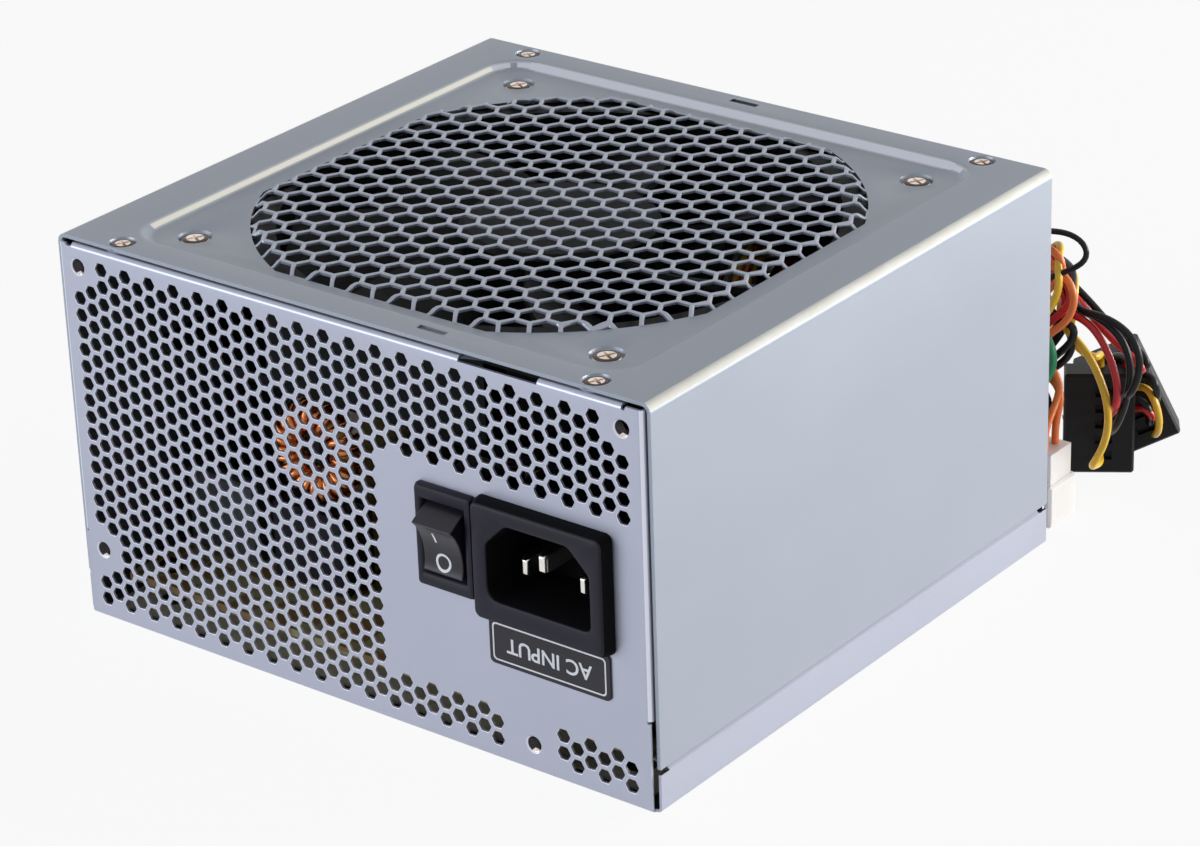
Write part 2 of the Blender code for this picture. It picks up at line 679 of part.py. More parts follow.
add_rod(bm, (0, 0, bladeMid), TUBE_RADIUS + GAP, FAN_THICKNESS, sides=24)
cut(statorOb, bm, "stator bore")

# ---------------------------------------------------------------- switch

bezelBack = frontY - GAP / 3
housing = box("switch_housing", "black", switchX - SWITCH_BEZEL[0] / 2, switchX + SWITCH_BEZEL[0] / 2,
              frontY - SWITCH_PROUD, bezelBack, switchZ - SWITCH_BEZEL[1] / 2, switchZ + SWITCH_BEZEL[1] / 2,
              0.0005, 1)
housingBack = frontY + SWITCH_DEPTH
bm = bmesh.new()
add_box(bm, switchX - SWITCH_BODY[0] / 2, switchX + SWITCH_BODY[0] / 2, frontY - SWITCH_PROUD / 2, housingBack,
        switchZ - SWITCH_BODY[1] / 2, switchZ + SWITCH_BODY[1] / 2)
join(housing, bm, "switch tub")
pivotY = frontY + PIVOT_DEPTH
cavityX = ROCKER_WIDTH / 2 + GAP
cavityBack = housingBack - 0.004
bm = bmesh.new()
add_box(bm, switchX - cavityX, switchX + cavityX, frontY - 0.01, cavityBack,
        switchZ - ROCKER_OPENING, switchZ + ROCKER_OPENING)
cut(housing, bm, "switch cavity")
pinReach = cavityX + 0.0010
bm = bmesh.new()
add_rod(bm, (switchX, pivotY, switchZ), 0.0010 + RUNNING, 2 * pinReach, "X", 12)
termWidth = 0.0048
for z in (-0.005, 0.005):
    add_box(bm, switchX - termWidth / 2 - GAP, switchX + termWidth / 2 + GAP, housingBack - 0.0024,
            housingBack + 0.001, switchZ + z - 0.0007, switchZ + z + 0.0007)
cut(housing, bm, "switch sockets")
for i, z in enumerate((-0.005, 0.005)):
    box("switch_terminal_%d" % (i + 1), "pin", switchX - termWidth / 2, switchX + termWidth / 2,
        housingBack - 0.0021, housingBack + 0.007, switchZ + z - 0.0004, switchZ + z + 0.0004)

profile = []
for a in (-100, -88, -77, -66):
    profile.append((-ROCKER_RADIUS * cos(radians(a)), ROCKER_RADIUS * sin(radians(a))))
edgeY, edgeZ = -ROCKER_RADIUS * cos(ROCKER_EDGE), ROCKER_RADIUS * sin(ROCKER_EDGE)
profile += [(edgeY, -edgeZ), (edgeY + 0.0010, -edgeZ / 2), (edgeY + 0.0016, 0),
            (edgeY + 0.0010, edgeZ / 2), (edgeY, edgeZ)]
for a in (66, 77, 88, 100):
    profile.append((-ROCKER_RADIUS * cos(radians(a)), ROCKER_RADIUS * sin(radians(a))))
profile += [(0.0030, 0.0040), (0.0046, 0.0), (0.0030, -0.0040)]
spun = []
for u, v in profile:
    spun.append((u * cos(ROCKER_TILT) - v * sin(ROCKER_TILT), u * sin(ROCKER_TILT) + v * cos(ROCKER_TILT)))
rocker = prism("rocker", "black", spun, along_x, -ROCKER_WIDTH / 2, ROCKER_WIDTH / 2)
rocker.location = (switchX, pivotY, switchZ)
bm = bmesh.new()
add_rod(bm, (0, 0, 0), 0.0010, 2 * (pinReach - GAP), "X", 12)
pivot = join(rocker, bm, "rocker pivot")
pivot.location = rocker.location

# ---------------------------------------------------------------- inlet

ix0, ix1 = inletX - INLET_BEZEL[0], inletX + INLET_BEZEL[1]
iz0, iz1 = inletZ - INLET_BEZEL[2], inletZ + INLET_BEZEL[3]
inletFace = frontY - INLET_PROUD
inlet = box("inlet_body", "black", ix0, ix1, inletFace, bezelBack, iz0, iz1, 0.0009, 2)
cavityEnd = inletFace + INLET_CAVITY
inletBack = cavityEnd + INLET_BACK
bm = bmesh.new()
add_box(bm, bodyX0, bodyX1, frontY - INLET_PROUD / 2, inletBack, bodyZ0, bodyZ1)
join(inlet, bm, "inlet tub")
ow, oh = INLET_OPENING[0] / 2, INLET_OPENING[1] / 2
k = INLET_CHAMFER
outline = [(-ow + 0.001, -oh), (ow - 0.001, -oh), (ow, -oh + 0.001), (ow, oh - k), (ow - k, oh), (-ow + k, oh),
           (-ow, oh - k), (-ow, -oh + 0.001)]
bm = bmesh.new()
add_prism(bm, [(inletX + u, inletZ + v) for u, v in outline], along_y, inletFace - 0.002, cavityEnd)
cut(inlet, bm, "inlet cavity")
pins = {"live_pin": (inletX - PIN_SPREAD, inletZ - 0.0021, frontY + 0.0017),
        "neutral_pin": (inletX + PIN_SPREAD, inletZ - 0.0021, frontY + 0.0017),
        "earth_pin": (inletX, inletZ + 0.0020, inletFace + 0.0014)}
bm = bmesh.new()
for x, z, tipY in pins.values():
    add_box(bm, x - PIN_WIDTH / 2 - GAP, x + PIN_WIDTH / 2 + GAP, cavityEnd - 0.001, inletBack + 0.001,
            z - PIN_HEIGHT / 2 - GAP, z + PIN_HEIGHT / 2 + GAP)
cut(inlet, bm, "pin slots")
pinEnd = inletBack + PIN_TAIL
for name, (x, z, tipY) in pins.items():
    box(name, "pin", x - PIN_WIDTH / 2, x + PIN_WIDTH / 2, tipY, pinEnd, z - PIN_HEIGHT / 2, z + PIN_HEIGHT / 2,
        0.0004, 1)

plate = [(u, v) for u, v, _ in rounded_rect(*LABEL_HALF, 0.0010, 0, 3)]
prism("label_plate", "black", [(inletX + u, inletZ - LABEL_BELOW + v) for u, v in plate], along_y,
      frontY - GAP / 3 - 0.0004, frontY - GAP / 3)

# ---------------------------------------------------------------- board

boardX = halfX - BOARD_CLEAR
boardY = halfY - 0.006
board = box("circuit_board", "board", -boardX, boardX, -boardY, boardY, BOARD_LEVEL, boardTop)
bm = bmesh.new()
for x, y in posts:
    add_rod(bm, (x, y, BOARD_LEVEL), 0.0017, 0.006, sides=12)
cut(board, bm, "board holes")
film = box("insulating_sheet", "film", -boardX - 0.003, boardX + 0.003, -boardY - 0.002, boardY + 0.002,
           SHEET + GAP, SHEET + GAP + 0.0005)
bm = bmesh.new()
for x, y in posts:
    add_rod(bm, (x, y, SHEET + GAP), POST_RADIUS + GAP, 0.004, sides=12)
cut(film, bm, "film holes")
for i, (x, y) in enumerate(posts):
    turned("board_screw_%d" % (i + 1), "nickel", [
        (0, 0.0019), (0.0016, 0.0018), (0.0027, 0.0009), (0.0027, GAP / 3), (0.0014, GAP / 3), (0.0014, -0.0050),
        (0, -0.0054)], (x, y, boardTop), 12)


def heatsink(name, x, y0, y1, sign, fin):
    """a plate with side fins; sign tells which way the fins point"""
    thick = 0.003
    top = fanBottom - 0.008
    pts = [(0, seat), (thick, seat), (thick, top), (0, top)]
    left = []
    z = top
    for n in range(5):
        left += [(-fin, z), (-fin, z - 0.0014), (0, z - 0.0014)]
        z -= 0.007
        if n < 4:
            left.append((0, z))
    pts = pts[:3] + left
    pts.append((0, seat))
    pts = pts[1:]
    if sign > 0:
        pts = [(thick - u, v) for u, v in pts]
    prism(name, "alloy", [(x + u, v) for u, v in pts], along_y, y0, y1)


heatsink("primary_heatsink", -0.031, frontY + 0.037, halfY - 0.036, -1, 0.0045)
heatsink("secondary_heatsink", 0.0210, frontY + 0.058, halfY - 0.028, 1, 0.0060)

for i, y in enumerate((frontY + 0.046, frontY + 0.064)):
    box("transistor_%d" % (i + 1), "ferrite", -0.028 + GAP, -0.028 + GAP + 0.0045, y, y + 0.010, 0.016, 0.032,
        0.0005)
box("rectifier", "ferrite", 0.0210 - GAP - 0.0045, 0.0210 - GAP, halfY - 0.045, halfY - 0.030, 0.016, 0.034,
    0.0005)

tx, ty = -0.0020, frontY + 0.0840
core = box("transformer_core", "ferrite", tx - 0.018, tx + 0.018, ty - 0.007, ty + 0.007, seat, seat + 0.028,
           0.0006)
bm = bmesh.new()
for sx in (-1, 1):
    a, b = sorted((sx * 0.005, sx * 0.013))
    add_box(bm, tx + a, tx + b, ty - 0.01, ty + 0.01, seat + 0.005, seat + 0.023)
cut(core, bm, "core windows")
winding = box("transformer_winding", "tape", tx - 0.013 + GAP, tx + 0.013 - GAP, ty - 0.0145, ty + 0.0145,
              seat + 0.005 + GAP, seat + 0.023 - GAP, 0.0025, 2)
winding.modifiers["edges"].width = 0.0020
bm = bmesh.new()
add_box(bm, tx - 0.005 - GAP, tx + 0.005 + GAP, ty - 0.007 - GAP, ty + 0.007 + GAP, seat, seat + 0.03)
cut(winding, bm, "winding bore")
box("standby_transformer", "tape", -0.014, 0.002, frontY + 0.041, frontY + 0.055, seat, seat + 0.018, 0.0015, 2)


def coil(name, look, centre, major, minor, upright, steps=28, sides=10):
    pts = [(major + minor * cos(2 * pi * i / sides), -minor * sin(2 * pi * i / sides)) for i in range(sides)]
    ob = turned(name, look, pts, centre, steps)
    if upright:
        ob.rotation_euler = (pi / 2, 0, 0)
    return ob


chokeX, chokeY = -0.0306, frontY + 0.026
baseTop = fanBottom - COIL_BELOW_FAN - 2 * (COIL_RADIUS + COIL_SECTION) - GAP
box("choke_base", "black", chokeX - 0.0100, chokeX + 0.0100, chokeY - 0.0050, chokeY + 0.0050, seat, baseTop,
    0.0008)
coil("input_choke", "copper", (chokeX, chokeY, baseTop + GAP + COIL_RADIUS + COIL_SECTION), COIL_RADIUS,
     COIL_SECTION, True)
coil("emi_choke", "green", (inletX - 0.0041, frontY + 0.030, seat + 0.0045), 0.0090, 0.0045, False, 24, 8)
coil("output_choke", "copper", (boardX - 0.016, frontY + 0.070, seat + 0.0050), 0.0095, 0.0050, False, 24, 8)


def can(name, look, x, y, radius, height, steps):
    z0 = seat
    z1 = seat + height
    r = radius
    turned(name, look, [(0, z1 - 0.0003), (r * 0.86, z1 - 0.0003), (r * 0.88, z1), (r * 0.97, z1), (r, z1 - 0.0008),
                        (r, z0 + 0.0035), (r * 0.95, z0 + 0.0028), (r, z0 + 0.0021), (r, z0), (0, z0)],
           (x, y, 0), steps)


can("bulk_capacitor", "black", -boardX + 0.016, frontY + 0.056, 0.0150, fanBottom - 0.0054 - seat, 28)
can("output_capacitor_1", "green", boardX - 0.006, frontY + 0.094, 0.0050, 0.022, 16)
can("output_capacitor_2", "green", boardX - 0.018, frontY + 0.096, 0.0050, 0.022, 16)
box("x_capacitor", "tape", 0.001, 0.027, frontY + 0.013, frontY + 0.022, seat, seat + 0.016, 0.0006)
turned("y_capacitor", "blue", [(0, 0.0015), (0.0032, 0.0015), (0.0045, 0.0006), (0.0045, -0.0006),
                               (0.0032, -0.0015), (0, -0.0015)],
       (-0.003, frontY + 0.028, seat + 0.0045), 16).rotation_euler = (pi / 2, 0, 0)
box("bridge_rectifier", "ferrite", -boardX + 0.002, -boardX + 0.021, frontY + 0.023, frontY + 0.027, seat, seat + 0.018, 0.0006)

# leads inside
leadY = pinEnd + 2 * GAP
lx, lz, _ = pins["live_pin"]
nx, nz, _ = pins["neutral_pin"]
ex, ez, _ = pins["earth_pin"]
termY = housingBack + 0.007 + 2 * GAP
upZ, downZ = switchZ + 0.005, switchZ - 0.005
tube("live_lead", "brown", [(lx, leadY, lz), (lx, leadY + 0.002, lz), (lx - 0.003, leadY + 0.005, lz + 0.002),
                            (inletX - 0.0151, leadY + 0.006, upZ), (switchX + 0.002, termY + 0.005, upZ),
                            (switchX, termY + 0.002, upZ), (switchX, termY, upZ)], 0.0010, 3, 1)
tube("switched_lead", "brown", [(switchX, termY, downZ), (switchX, termY + 0.002, downZ),
                                (switchX, termY + 0.005, downZ - 0.004), (switchX + 0.002, termY + 0.006, 0.025),
                                (switchX + 0.003, termY + 0.006, seat + 0.003),
                                (switchX + 0.003, termY + 0.006, seat)], 0.0010, 3, 1)
tube("neutral_lead", "blue", [(nx, leadY, nz), (nx, leadY + 0.002, nz), (nx, leadY + 0.006, nz - 0.004),
                              (nx + 0.004, leadY + 0.010, 0.028), (nx + 0.004, leadY + 0.010, seat + 0.003),
                              (nx + 0.004, leadY + 0.010, seat)], 0.0010, 3, 1)
tube("earth_lead", "green", [(ex, leadY, ez), (ex, leadY + 0.002, ez), (ex, leadY + 0.007, ez + 0.001),
                             (ex - 0.004, leadY + 0.014, 0.036), (ex - 0.014, leadY + 0.016, 0.022),
                             (ex - 0.016, leadY + 0.016, seat + 0.003), (ex - 0.016, leadY + 0.016, seat)],
     0.0012, 3, 1)

# ---------------------------------------------------------------- cables

rearY = halfY
turned("cable_grommet", "black", [
    (GROMMET_BORE, -0.0024), (GROMMET_BORE, 0.0024), (GROMMET_FLANGE - 0.0008, 0.0024), (GROMMET_FLANGE, 0.0016),
    (GROMMET_FLANGE, SHEET / 2 + GAP), (GROMMET_NECK, SHEET / 2 + GAP), (GROMMET_NECK, -SHEET / 2 - GAP),
    (GROMMET_FLANGE, -SHEET / 2 - GAP), (GROMMET_FLANGE, -0.0016), (GROMMET_FLANGE - 0.0008, -0.0024)],
    (exitCentre, rearY - SHEET / 2, EXIT_HEIGHT), 32).rotation_euler = (pi / 2, 0, 0)
ez0 = EXIT_HEIGHT
mainX = EXIT_X
driveX = EXIT_X + EXIT_SPACING
connector = (0.0210, 0.0726, rearY + 0.0043, rearY + 0.0149, 0.0001, 0.0172)
entryX, entryY = 0.0610, (connector[2] + connector[3]) / 2
tube("main_cable", "black", [
    (mainX, rearY - 0.026, seat), (mainX, rearY - 0.025, ez0 - 0.026), (mainX, rearY - 0.019, ez0 - 0.011),
    (mainX, rearY - 0.010, ez0 - 0.0025), (mainX, rearY, ez0), (mainX, rearY + 0.014, ez0 - 0.0003),
    (-0.001, rearY + 0.026, 0.044), (-0.010, rearY + 0.038, 0.032), (-0.024, rearY + 0.044, 0.018),
    (-0.040, rearY + 0.042, 0.0076), (-0.052, rearY + 0.031, 0.0054), (-0.050, rearY + 0.018, 0.0054),
    (-0.036, rearY + 0.010, 0.0054), (-0.018, rearY + 0.010, 0.0056), (-0.002, rearY + 0.014, 0.0062),
    (0.012, rearY + 0.020, 0.009), (0.026, rearY + 0.0235, 0.017), (0.038, rearY + 0.025, 0.028),
    (0.048, rearY + 0.025, 0.041), (0.057, rearY + 0.023, 0.050), (0.0645, rearY + 0.019, 0.052),
    (0.068, rearY + 0.0165, 0.0465), (0.0665, rearY + 0.0145, 0.037), (0.0625, rearY + 0.0115, 0.028),
    (entryX, entryY, connector[5] + 0.0055), (entryX, entryY, connector[5] + 0.0009)], MAIN_RADIUS, 2)
turned("cable_tie", "nylon", [(MAIN_RADIUS + 0.0021, 0.0018), (MAIN_RADIUS + 0.0021, -0.0018),
                              (MAIN_RADIUS + 0.0010, -0.0018), (MAIN_RADIUS + 0.0010, 0.0018)],
       (mainX, rearY + 0.0105, ez0), 20).rotation_euler = (pi / 2, 0, 0)
x0, x1, y0, y1, z0, z1 = connector
mainPlug = box("main_connector", "nylon", x0, x1, y0, y1, z0, z0 + 0.0100, 0.0006)
bm = bmesh.new()
add_box(bm, x0 + 0.0008, x1 - 0.0008, y0 + 0.0012, y1 - 0.0012, z0 + 0.0080, z1)
join(mainPlug, bm, "plug neck")
mid = (x0 + x1) / 2
latch = bmesh.new()
add_prism(latch, [(y1 + 0.0004, z0 + 0.0012), (y1 + 0.0014, z0 + 0.0012), (y1 + 0.0014, z1 - 0.0022),
                  (y1 + 0.0022, z1 - 0.0010), (y1 + 0.0012, z1 - 0.0010), (y1 + 0.0004, z1 - 0.0030),
                  (y1 + 0.0004, z0 + 0.0086), (y1 - 0.0010, z0 + 0.0086), (y1 - 0.0010, z0 + 0.0064),
                  (y1 + 0.0004, z0 + 0.0064)], along_x, mid - LATCH_HALF, mid + LATCH_HALF)
join(mainPlug, latch, "plug latch")
bm = bmesh.new()
for i in range(2 * SILO_COLUMNS):
    cx = mid + (i // 2 - (SILO_COLUMNS - 1) / 2) * SILO_PITCH
    cy = entryY + (i % 2 - 0.5) * SILO_PITCH
    add_box(bm, cx - SILO_HOLE / 2, cx + SILO_HOLE / 2, cy - SILO_HOLE / 2, cy + SILO_HOLE / 2, z0 - 0.001,
            z0 + SILO_DEPTH)
cut(mainPlug, bm, "plug silos")

# the two drive plugs stand on edge, the second leaning behind the first
along = Vector((cos(PLUG_TURN), sin(PLUG_TURN), 0))
facing = Vector((sin(PLUG_TURN), -cos(PLUG_TURN), 0))
up = Vector((0, 0, 1))


def plug(name, corner, lean):
    """a flat plug whose face looks along facing, with its lowest corner given"""
    u = along * cos(lean) + up * sin(lean)
    v = -along * sin(lean) + up * cos(lean)
    bm = bmesh.new()
    add_box(bm, 0, PLUG_LENGTH, 0, PLUG_THICKNESS, 0, PLUG_WIDTH)
    frame = Matrix((u, -facing, v)).transposed().to_4x4()
    bmesh.ops.transform(bm, matrix=Matrix.Translation(corner) @ frame, verts=bm.verts)
    ob = from_bmesh(name, bm, "black")
    add_bevel(ob, 0.0005)
    holes = bmesh.new()
    middle = PLUG_THICKNESS / 2
    add_prism(holes, [(middle - 0.0012, 0.0016), (middle + 0.0022, 0.0016), (middle + 0.0022, 0.0034),
                      (middle + 0.0012, 0.0034), (middle + 0.0012, PLUG_WIDTH - 0.0016),
                      (middle - 0.0012, PLUG_WIDTH - 0.0016)], along_x, -0.001, PLUG_SOCKET)
    for i in range(5):
        z = PLUG_WIDTH / 2 + (i - 2) * PLUG_PITCH
        add_box(holes, PLUG_LENGTH * 0.44, PLUG_LENGTH * 0.68, -0.001, 0.0010, z - 0.0010, z + 0.0010)
    bmesh.ops.transform(holes, matrix=Matrix.Translation(corner) @ frame, verts=holes.verts)
    cut(ob, holes, name + " openings")
    return u, v


first = Vector((0.0600, rearY + 0.030, 0.0001))
plug("drive_plug_1", first, 0)
second = first - facing * (PLUG_THICKNESS + 0.0005) + along * 0.0121
plug("drive_plug_2", second, PLUG_LEAN)
slots = first + along * 0.0080 + up * 0.0117
face1 = slots + facing * 2 * GAP
tube("drive_cable", "red", [
    (driveX, rearY - 0.026, seat), (driveX, rearY - 0.024, ez0 - 0.025), (driveX, rearY - 0.018, ez0 - 0.010),
    (driveX, rearY - 0.010, ez0 - 0.0015), (driveX, rearY, ez0), (driveX + 0.0045, rearY + 0.016, 0.051),
    (0.020, rearY + 0.028, 0.050), (0.036, rearY + 0.036, 0.048), (0.052, rearY + 0.036, 0.047),
    (0.064, rearY + 0.030, 0.0475), (0.072, rearY + 0.026, 0.0445), (0.0765, rearY + 0.025, 0.037),
    (0.0780, rearY + 0.026, 0.028), (0.0765, rearY + 0.026, 0.0185), face1 + facing * 0.0068 + up * 0.0008 + along * 0.002,
    face1 + facing * 0.0032, face1], DRIVE_RADIUS, 3)
end1 = first + along * (PLUG_LENGTH + 2 * GAP) - facing * PLUG_THICKNESS / 2 + up * 0.0195
face2 = first - facing * (PLUG_THICKNESS + 0.0005 - 2 * GAP) + along * 0.0203 + up * 0.0105
tube("link_cable", "yellow", [
    end1, end1 + along * 0.0032, end1 + along * 0.0080 + facing * 0.0030 + up * 0.0020,
    end1 + along * 0.0095 + facing * 0.0070 - up * 0.0030, face2 + facing * 0.0085 + along * 0.0005 + up * 0.0005,
    face2 + facing * 0.0036, face2], DRIVE_RADIUS, 3)
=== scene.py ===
import bpy
import bmesh
from math import sin, cos, pi, radians, sqrt, hypot, atan2
from mathutils import Vector, Matrix


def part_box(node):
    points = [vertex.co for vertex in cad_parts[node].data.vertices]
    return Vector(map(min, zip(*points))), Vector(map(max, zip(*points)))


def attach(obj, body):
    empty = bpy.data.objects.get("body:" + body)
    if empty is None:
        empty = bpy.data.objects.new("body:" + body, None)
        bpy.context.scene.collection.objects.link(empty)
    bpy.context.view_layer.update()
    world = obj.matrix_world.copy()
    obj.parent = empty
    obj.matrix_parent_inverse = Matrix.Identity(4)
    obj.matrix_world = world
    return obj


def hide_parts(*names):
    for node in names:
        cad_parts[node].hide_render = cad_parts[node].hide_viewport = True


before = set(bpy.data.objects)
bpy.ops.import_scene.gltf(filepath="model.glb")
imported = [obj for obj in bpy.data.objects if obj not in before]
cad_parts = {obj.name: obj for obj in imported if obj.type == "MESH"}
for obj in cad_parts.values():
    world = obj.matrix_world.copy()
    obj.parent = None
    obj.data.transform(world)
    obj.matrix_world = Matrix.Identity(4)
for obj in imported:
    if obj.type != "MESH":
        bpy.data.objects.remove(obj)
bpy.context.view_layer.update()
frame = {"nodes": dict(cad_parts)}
nodes = frame["nodes"]
scene = bpy.context.scene
scene.view_settings.view_transform = "Standard"
print("frame loaded:", len(nodes), "nodes")

case = {"width": 0.150, "depth": 0.140, "height": 0.086, "sheet": 0.0008, "skin": 0.0006, "bend": 0.0010,
        "coverBend": 0.0020, "setback": 0.0011, "gap": 0.0003}
halfX, halfY, topZ = case["width"] / 2, case["depth"] / 2, case["height"]
frontY, rearY = -halfY, halfY

# camera
camera = {"place": (0.48628, -0.60270, 0.39813), "turn": (64.92, 1.747, 37.40), "lens": 122.59,
          "shift": (-0.0096, -0.0015), "sensor": 36, "near": 0.01, "far": 50}
lens = bpy.data.cameras.new("camera")
eye = bpy.data.objects.new("camera", lens)
scene.collection.objects.link(eye)
eye.location = camera["place"]
eye.rotation_euler = [radians(a) for a in camera["turn"]]
lens.lens, lens.sensor_width = camera["lens"], camera["sensor"]
lens.shift_x, lens.shift_y = camera["shift"]
lens.clip_start, lens.clip_end = camera["near"], camera["far"]
scene.camera = eye


# shader maths
class Value:
    def __init__(self, nodes, socket):
        self.nodes, self.socket = nodes, socket

    def maths(self, operation, a, b):
        return self.nodes.node("ShaderNodeMath", {"operation": operation}, {0: a, 1: b})

    def __add__(self, other): return self.maths("ADD", self, other)
    def __radd__(self, other): return self.maths("ADD", other, self)
    def __mul__(self, other): return self.maths("MULTIPLY", self, other)
    def __rmul__(self, other): return self.maths("MULTIPLY", other, self)
    def __gt__(self, other): return self.maths("GREATER_THAN", self, other)


class Nodes:
    def __init__(self, tree):
        self.tree = tree

    def node(self, kind, settings=None, inputs=None, out=0):
        made = self.tree.nodes.new(kind)
        for key, value in (settings or {}).items():
            setattr(made, key, value)
        for key, value in (inputs or {}).items():
            self.feed(made.inputs[key], value)
        return Value(self, made.outputs[out])

    def feed(self, socket, value):
        if isinstance(value, Value):
            self.tree.links.new(value.socket, socket)
        elif socket.type == "RGBA" and len(value) == 3:
            socket.default_value = (*value, 1)
        else:
            socket.default_value = value

    def lookedAt(self):
        # 1 where the camera, a mirror or glass looks, so that the white behind it all lights nothing
        kinds = ("Is Camera Ray", "Is Glossy Ray", "Is Transmission Ray")
        rays = [self.node("ShaderNodeLightPath", out=kind) for kind in kinds]
        return rays[0].maths("MAXIMUM", rays[0].maths("MAXIMUM", rays[0], rays[1]), rays[2])


class Finish(Nodes):
    def __init__(self, name, **constants):
        self.material = bpy.data.materials.new(name)
        self.material.use_nodes = True
        super().__init__(self.material.node_tree)
        self.shader = self.tree.nodes["Principled BSDF"]
        for key, value in constants.items():
            self.set(key.replace("_", " "), value)

    def set(self, key, value):
        self.feed(self.shader.inputs[key], value)

    def place(self):
        return self.node("ShaderNodeTexCoord", out="Object")

    def stretched(self, scale, turn=(0, 0, 0)):
        return self.node("ShaderNodeMapping", None,
                         {"Vector": self.place(), "Scale": scale, "Rotation": turn})

    def noise(self, scale, detail=3.0, rough=0.55, at=None):
        return self.node("ShaderNodeTexNoise", None, {"Vector": at or self.place(), "Scale": scale,
                                                      "Detail": detail, "Roughness": rough})

    def blend(self, amount, a, b):
        return self.node("ShaderNodeMix", {"data_type": "RGBA"}, {0: amount, 6: a, 7: b}, 2)

    def bump(self, height, strength, distance):
        self.set("Normal", self.node("ShaderNodeBump", None, {"Height": height, "Strength": strength,
                                                              "Distance": distance}))
        return self


def sheetFinish(name, light, dark, metallic, rough, grain=(1.0, 1.0, 1.0)):
    # zinc-plated sheet: faint clouds, a fine grain and a few rubbed marks
    f = Finish(name, Metallic=metallic)
    clouds = f.noise(14, 3)
    fine = f.noise(2600, 2, 0.6, f.stretched(grain))
    rubs = f.noise(60, 4, 0.7, f.stretched((1.0, 0.12, 1.0), (0, 0, 0.5)))
    f.set("Base Color", f.blend(clouds * 0.7 + fine * 0.3, dark, light))
    f.set("Roughness", clouds * 0.10 + rubs * 0.08 + (rough - 0.09))
    return f.bump(fine * 0.6 + rubs * 0.4, 0.10, 0.00004).material


def plasticFinish(name, colour, rough, grain=2200, depth=0.00006, strength=0.25, lift=1.5, shine=0.5):
    # moulded plastic with its fine tool texture
    f = Finish(name, Specular_IOR_Level=shine)
    skin = f.noise(grain, 2, 0.5)
    wear = f.noise(90, 4, 0.6)
    paler = tuple(min(1, c * lift + 0.004) for c in colour)
    f.set("Base Color", f.blend(wear * wear, colour, paler))
    f.set("Roughness", wear * 0.14 + (rough - 0.07))
    return f.bump(skin, strength, depth).material


def metalFinish(name, colour, other, rough, scale=700):
    f = Finish(name, Metallic=1.0)
    marks = f.noise(scale, 4, 0.6)
    f.set("Base Color", f.blend(marks, colour, other))
    f.set("Roughness", marks * 0.18 + (rough - 0.09))
    return f.bump(marks, 0.12, 0.00004).material


def wireFinish(name, colour, rough=0.34):
    # extruded insulation, faintly uneven and a little dusty
    f = Finish(name, Specular_IOR_Level=0.20 if max(colour) < 0.05 else 0.45)
    run = f.noise(160, 3)
    f.set("Base Color", f.blend(run * 0.55, colour, tuple(min(1, c * 0.78 + 0.02) for c in colour)))
    f.set("Roughness", run * 0.16 + (rough - 0.08))
    return f.bump(f.noise(1500, 2), 0.12, 0.00004).material


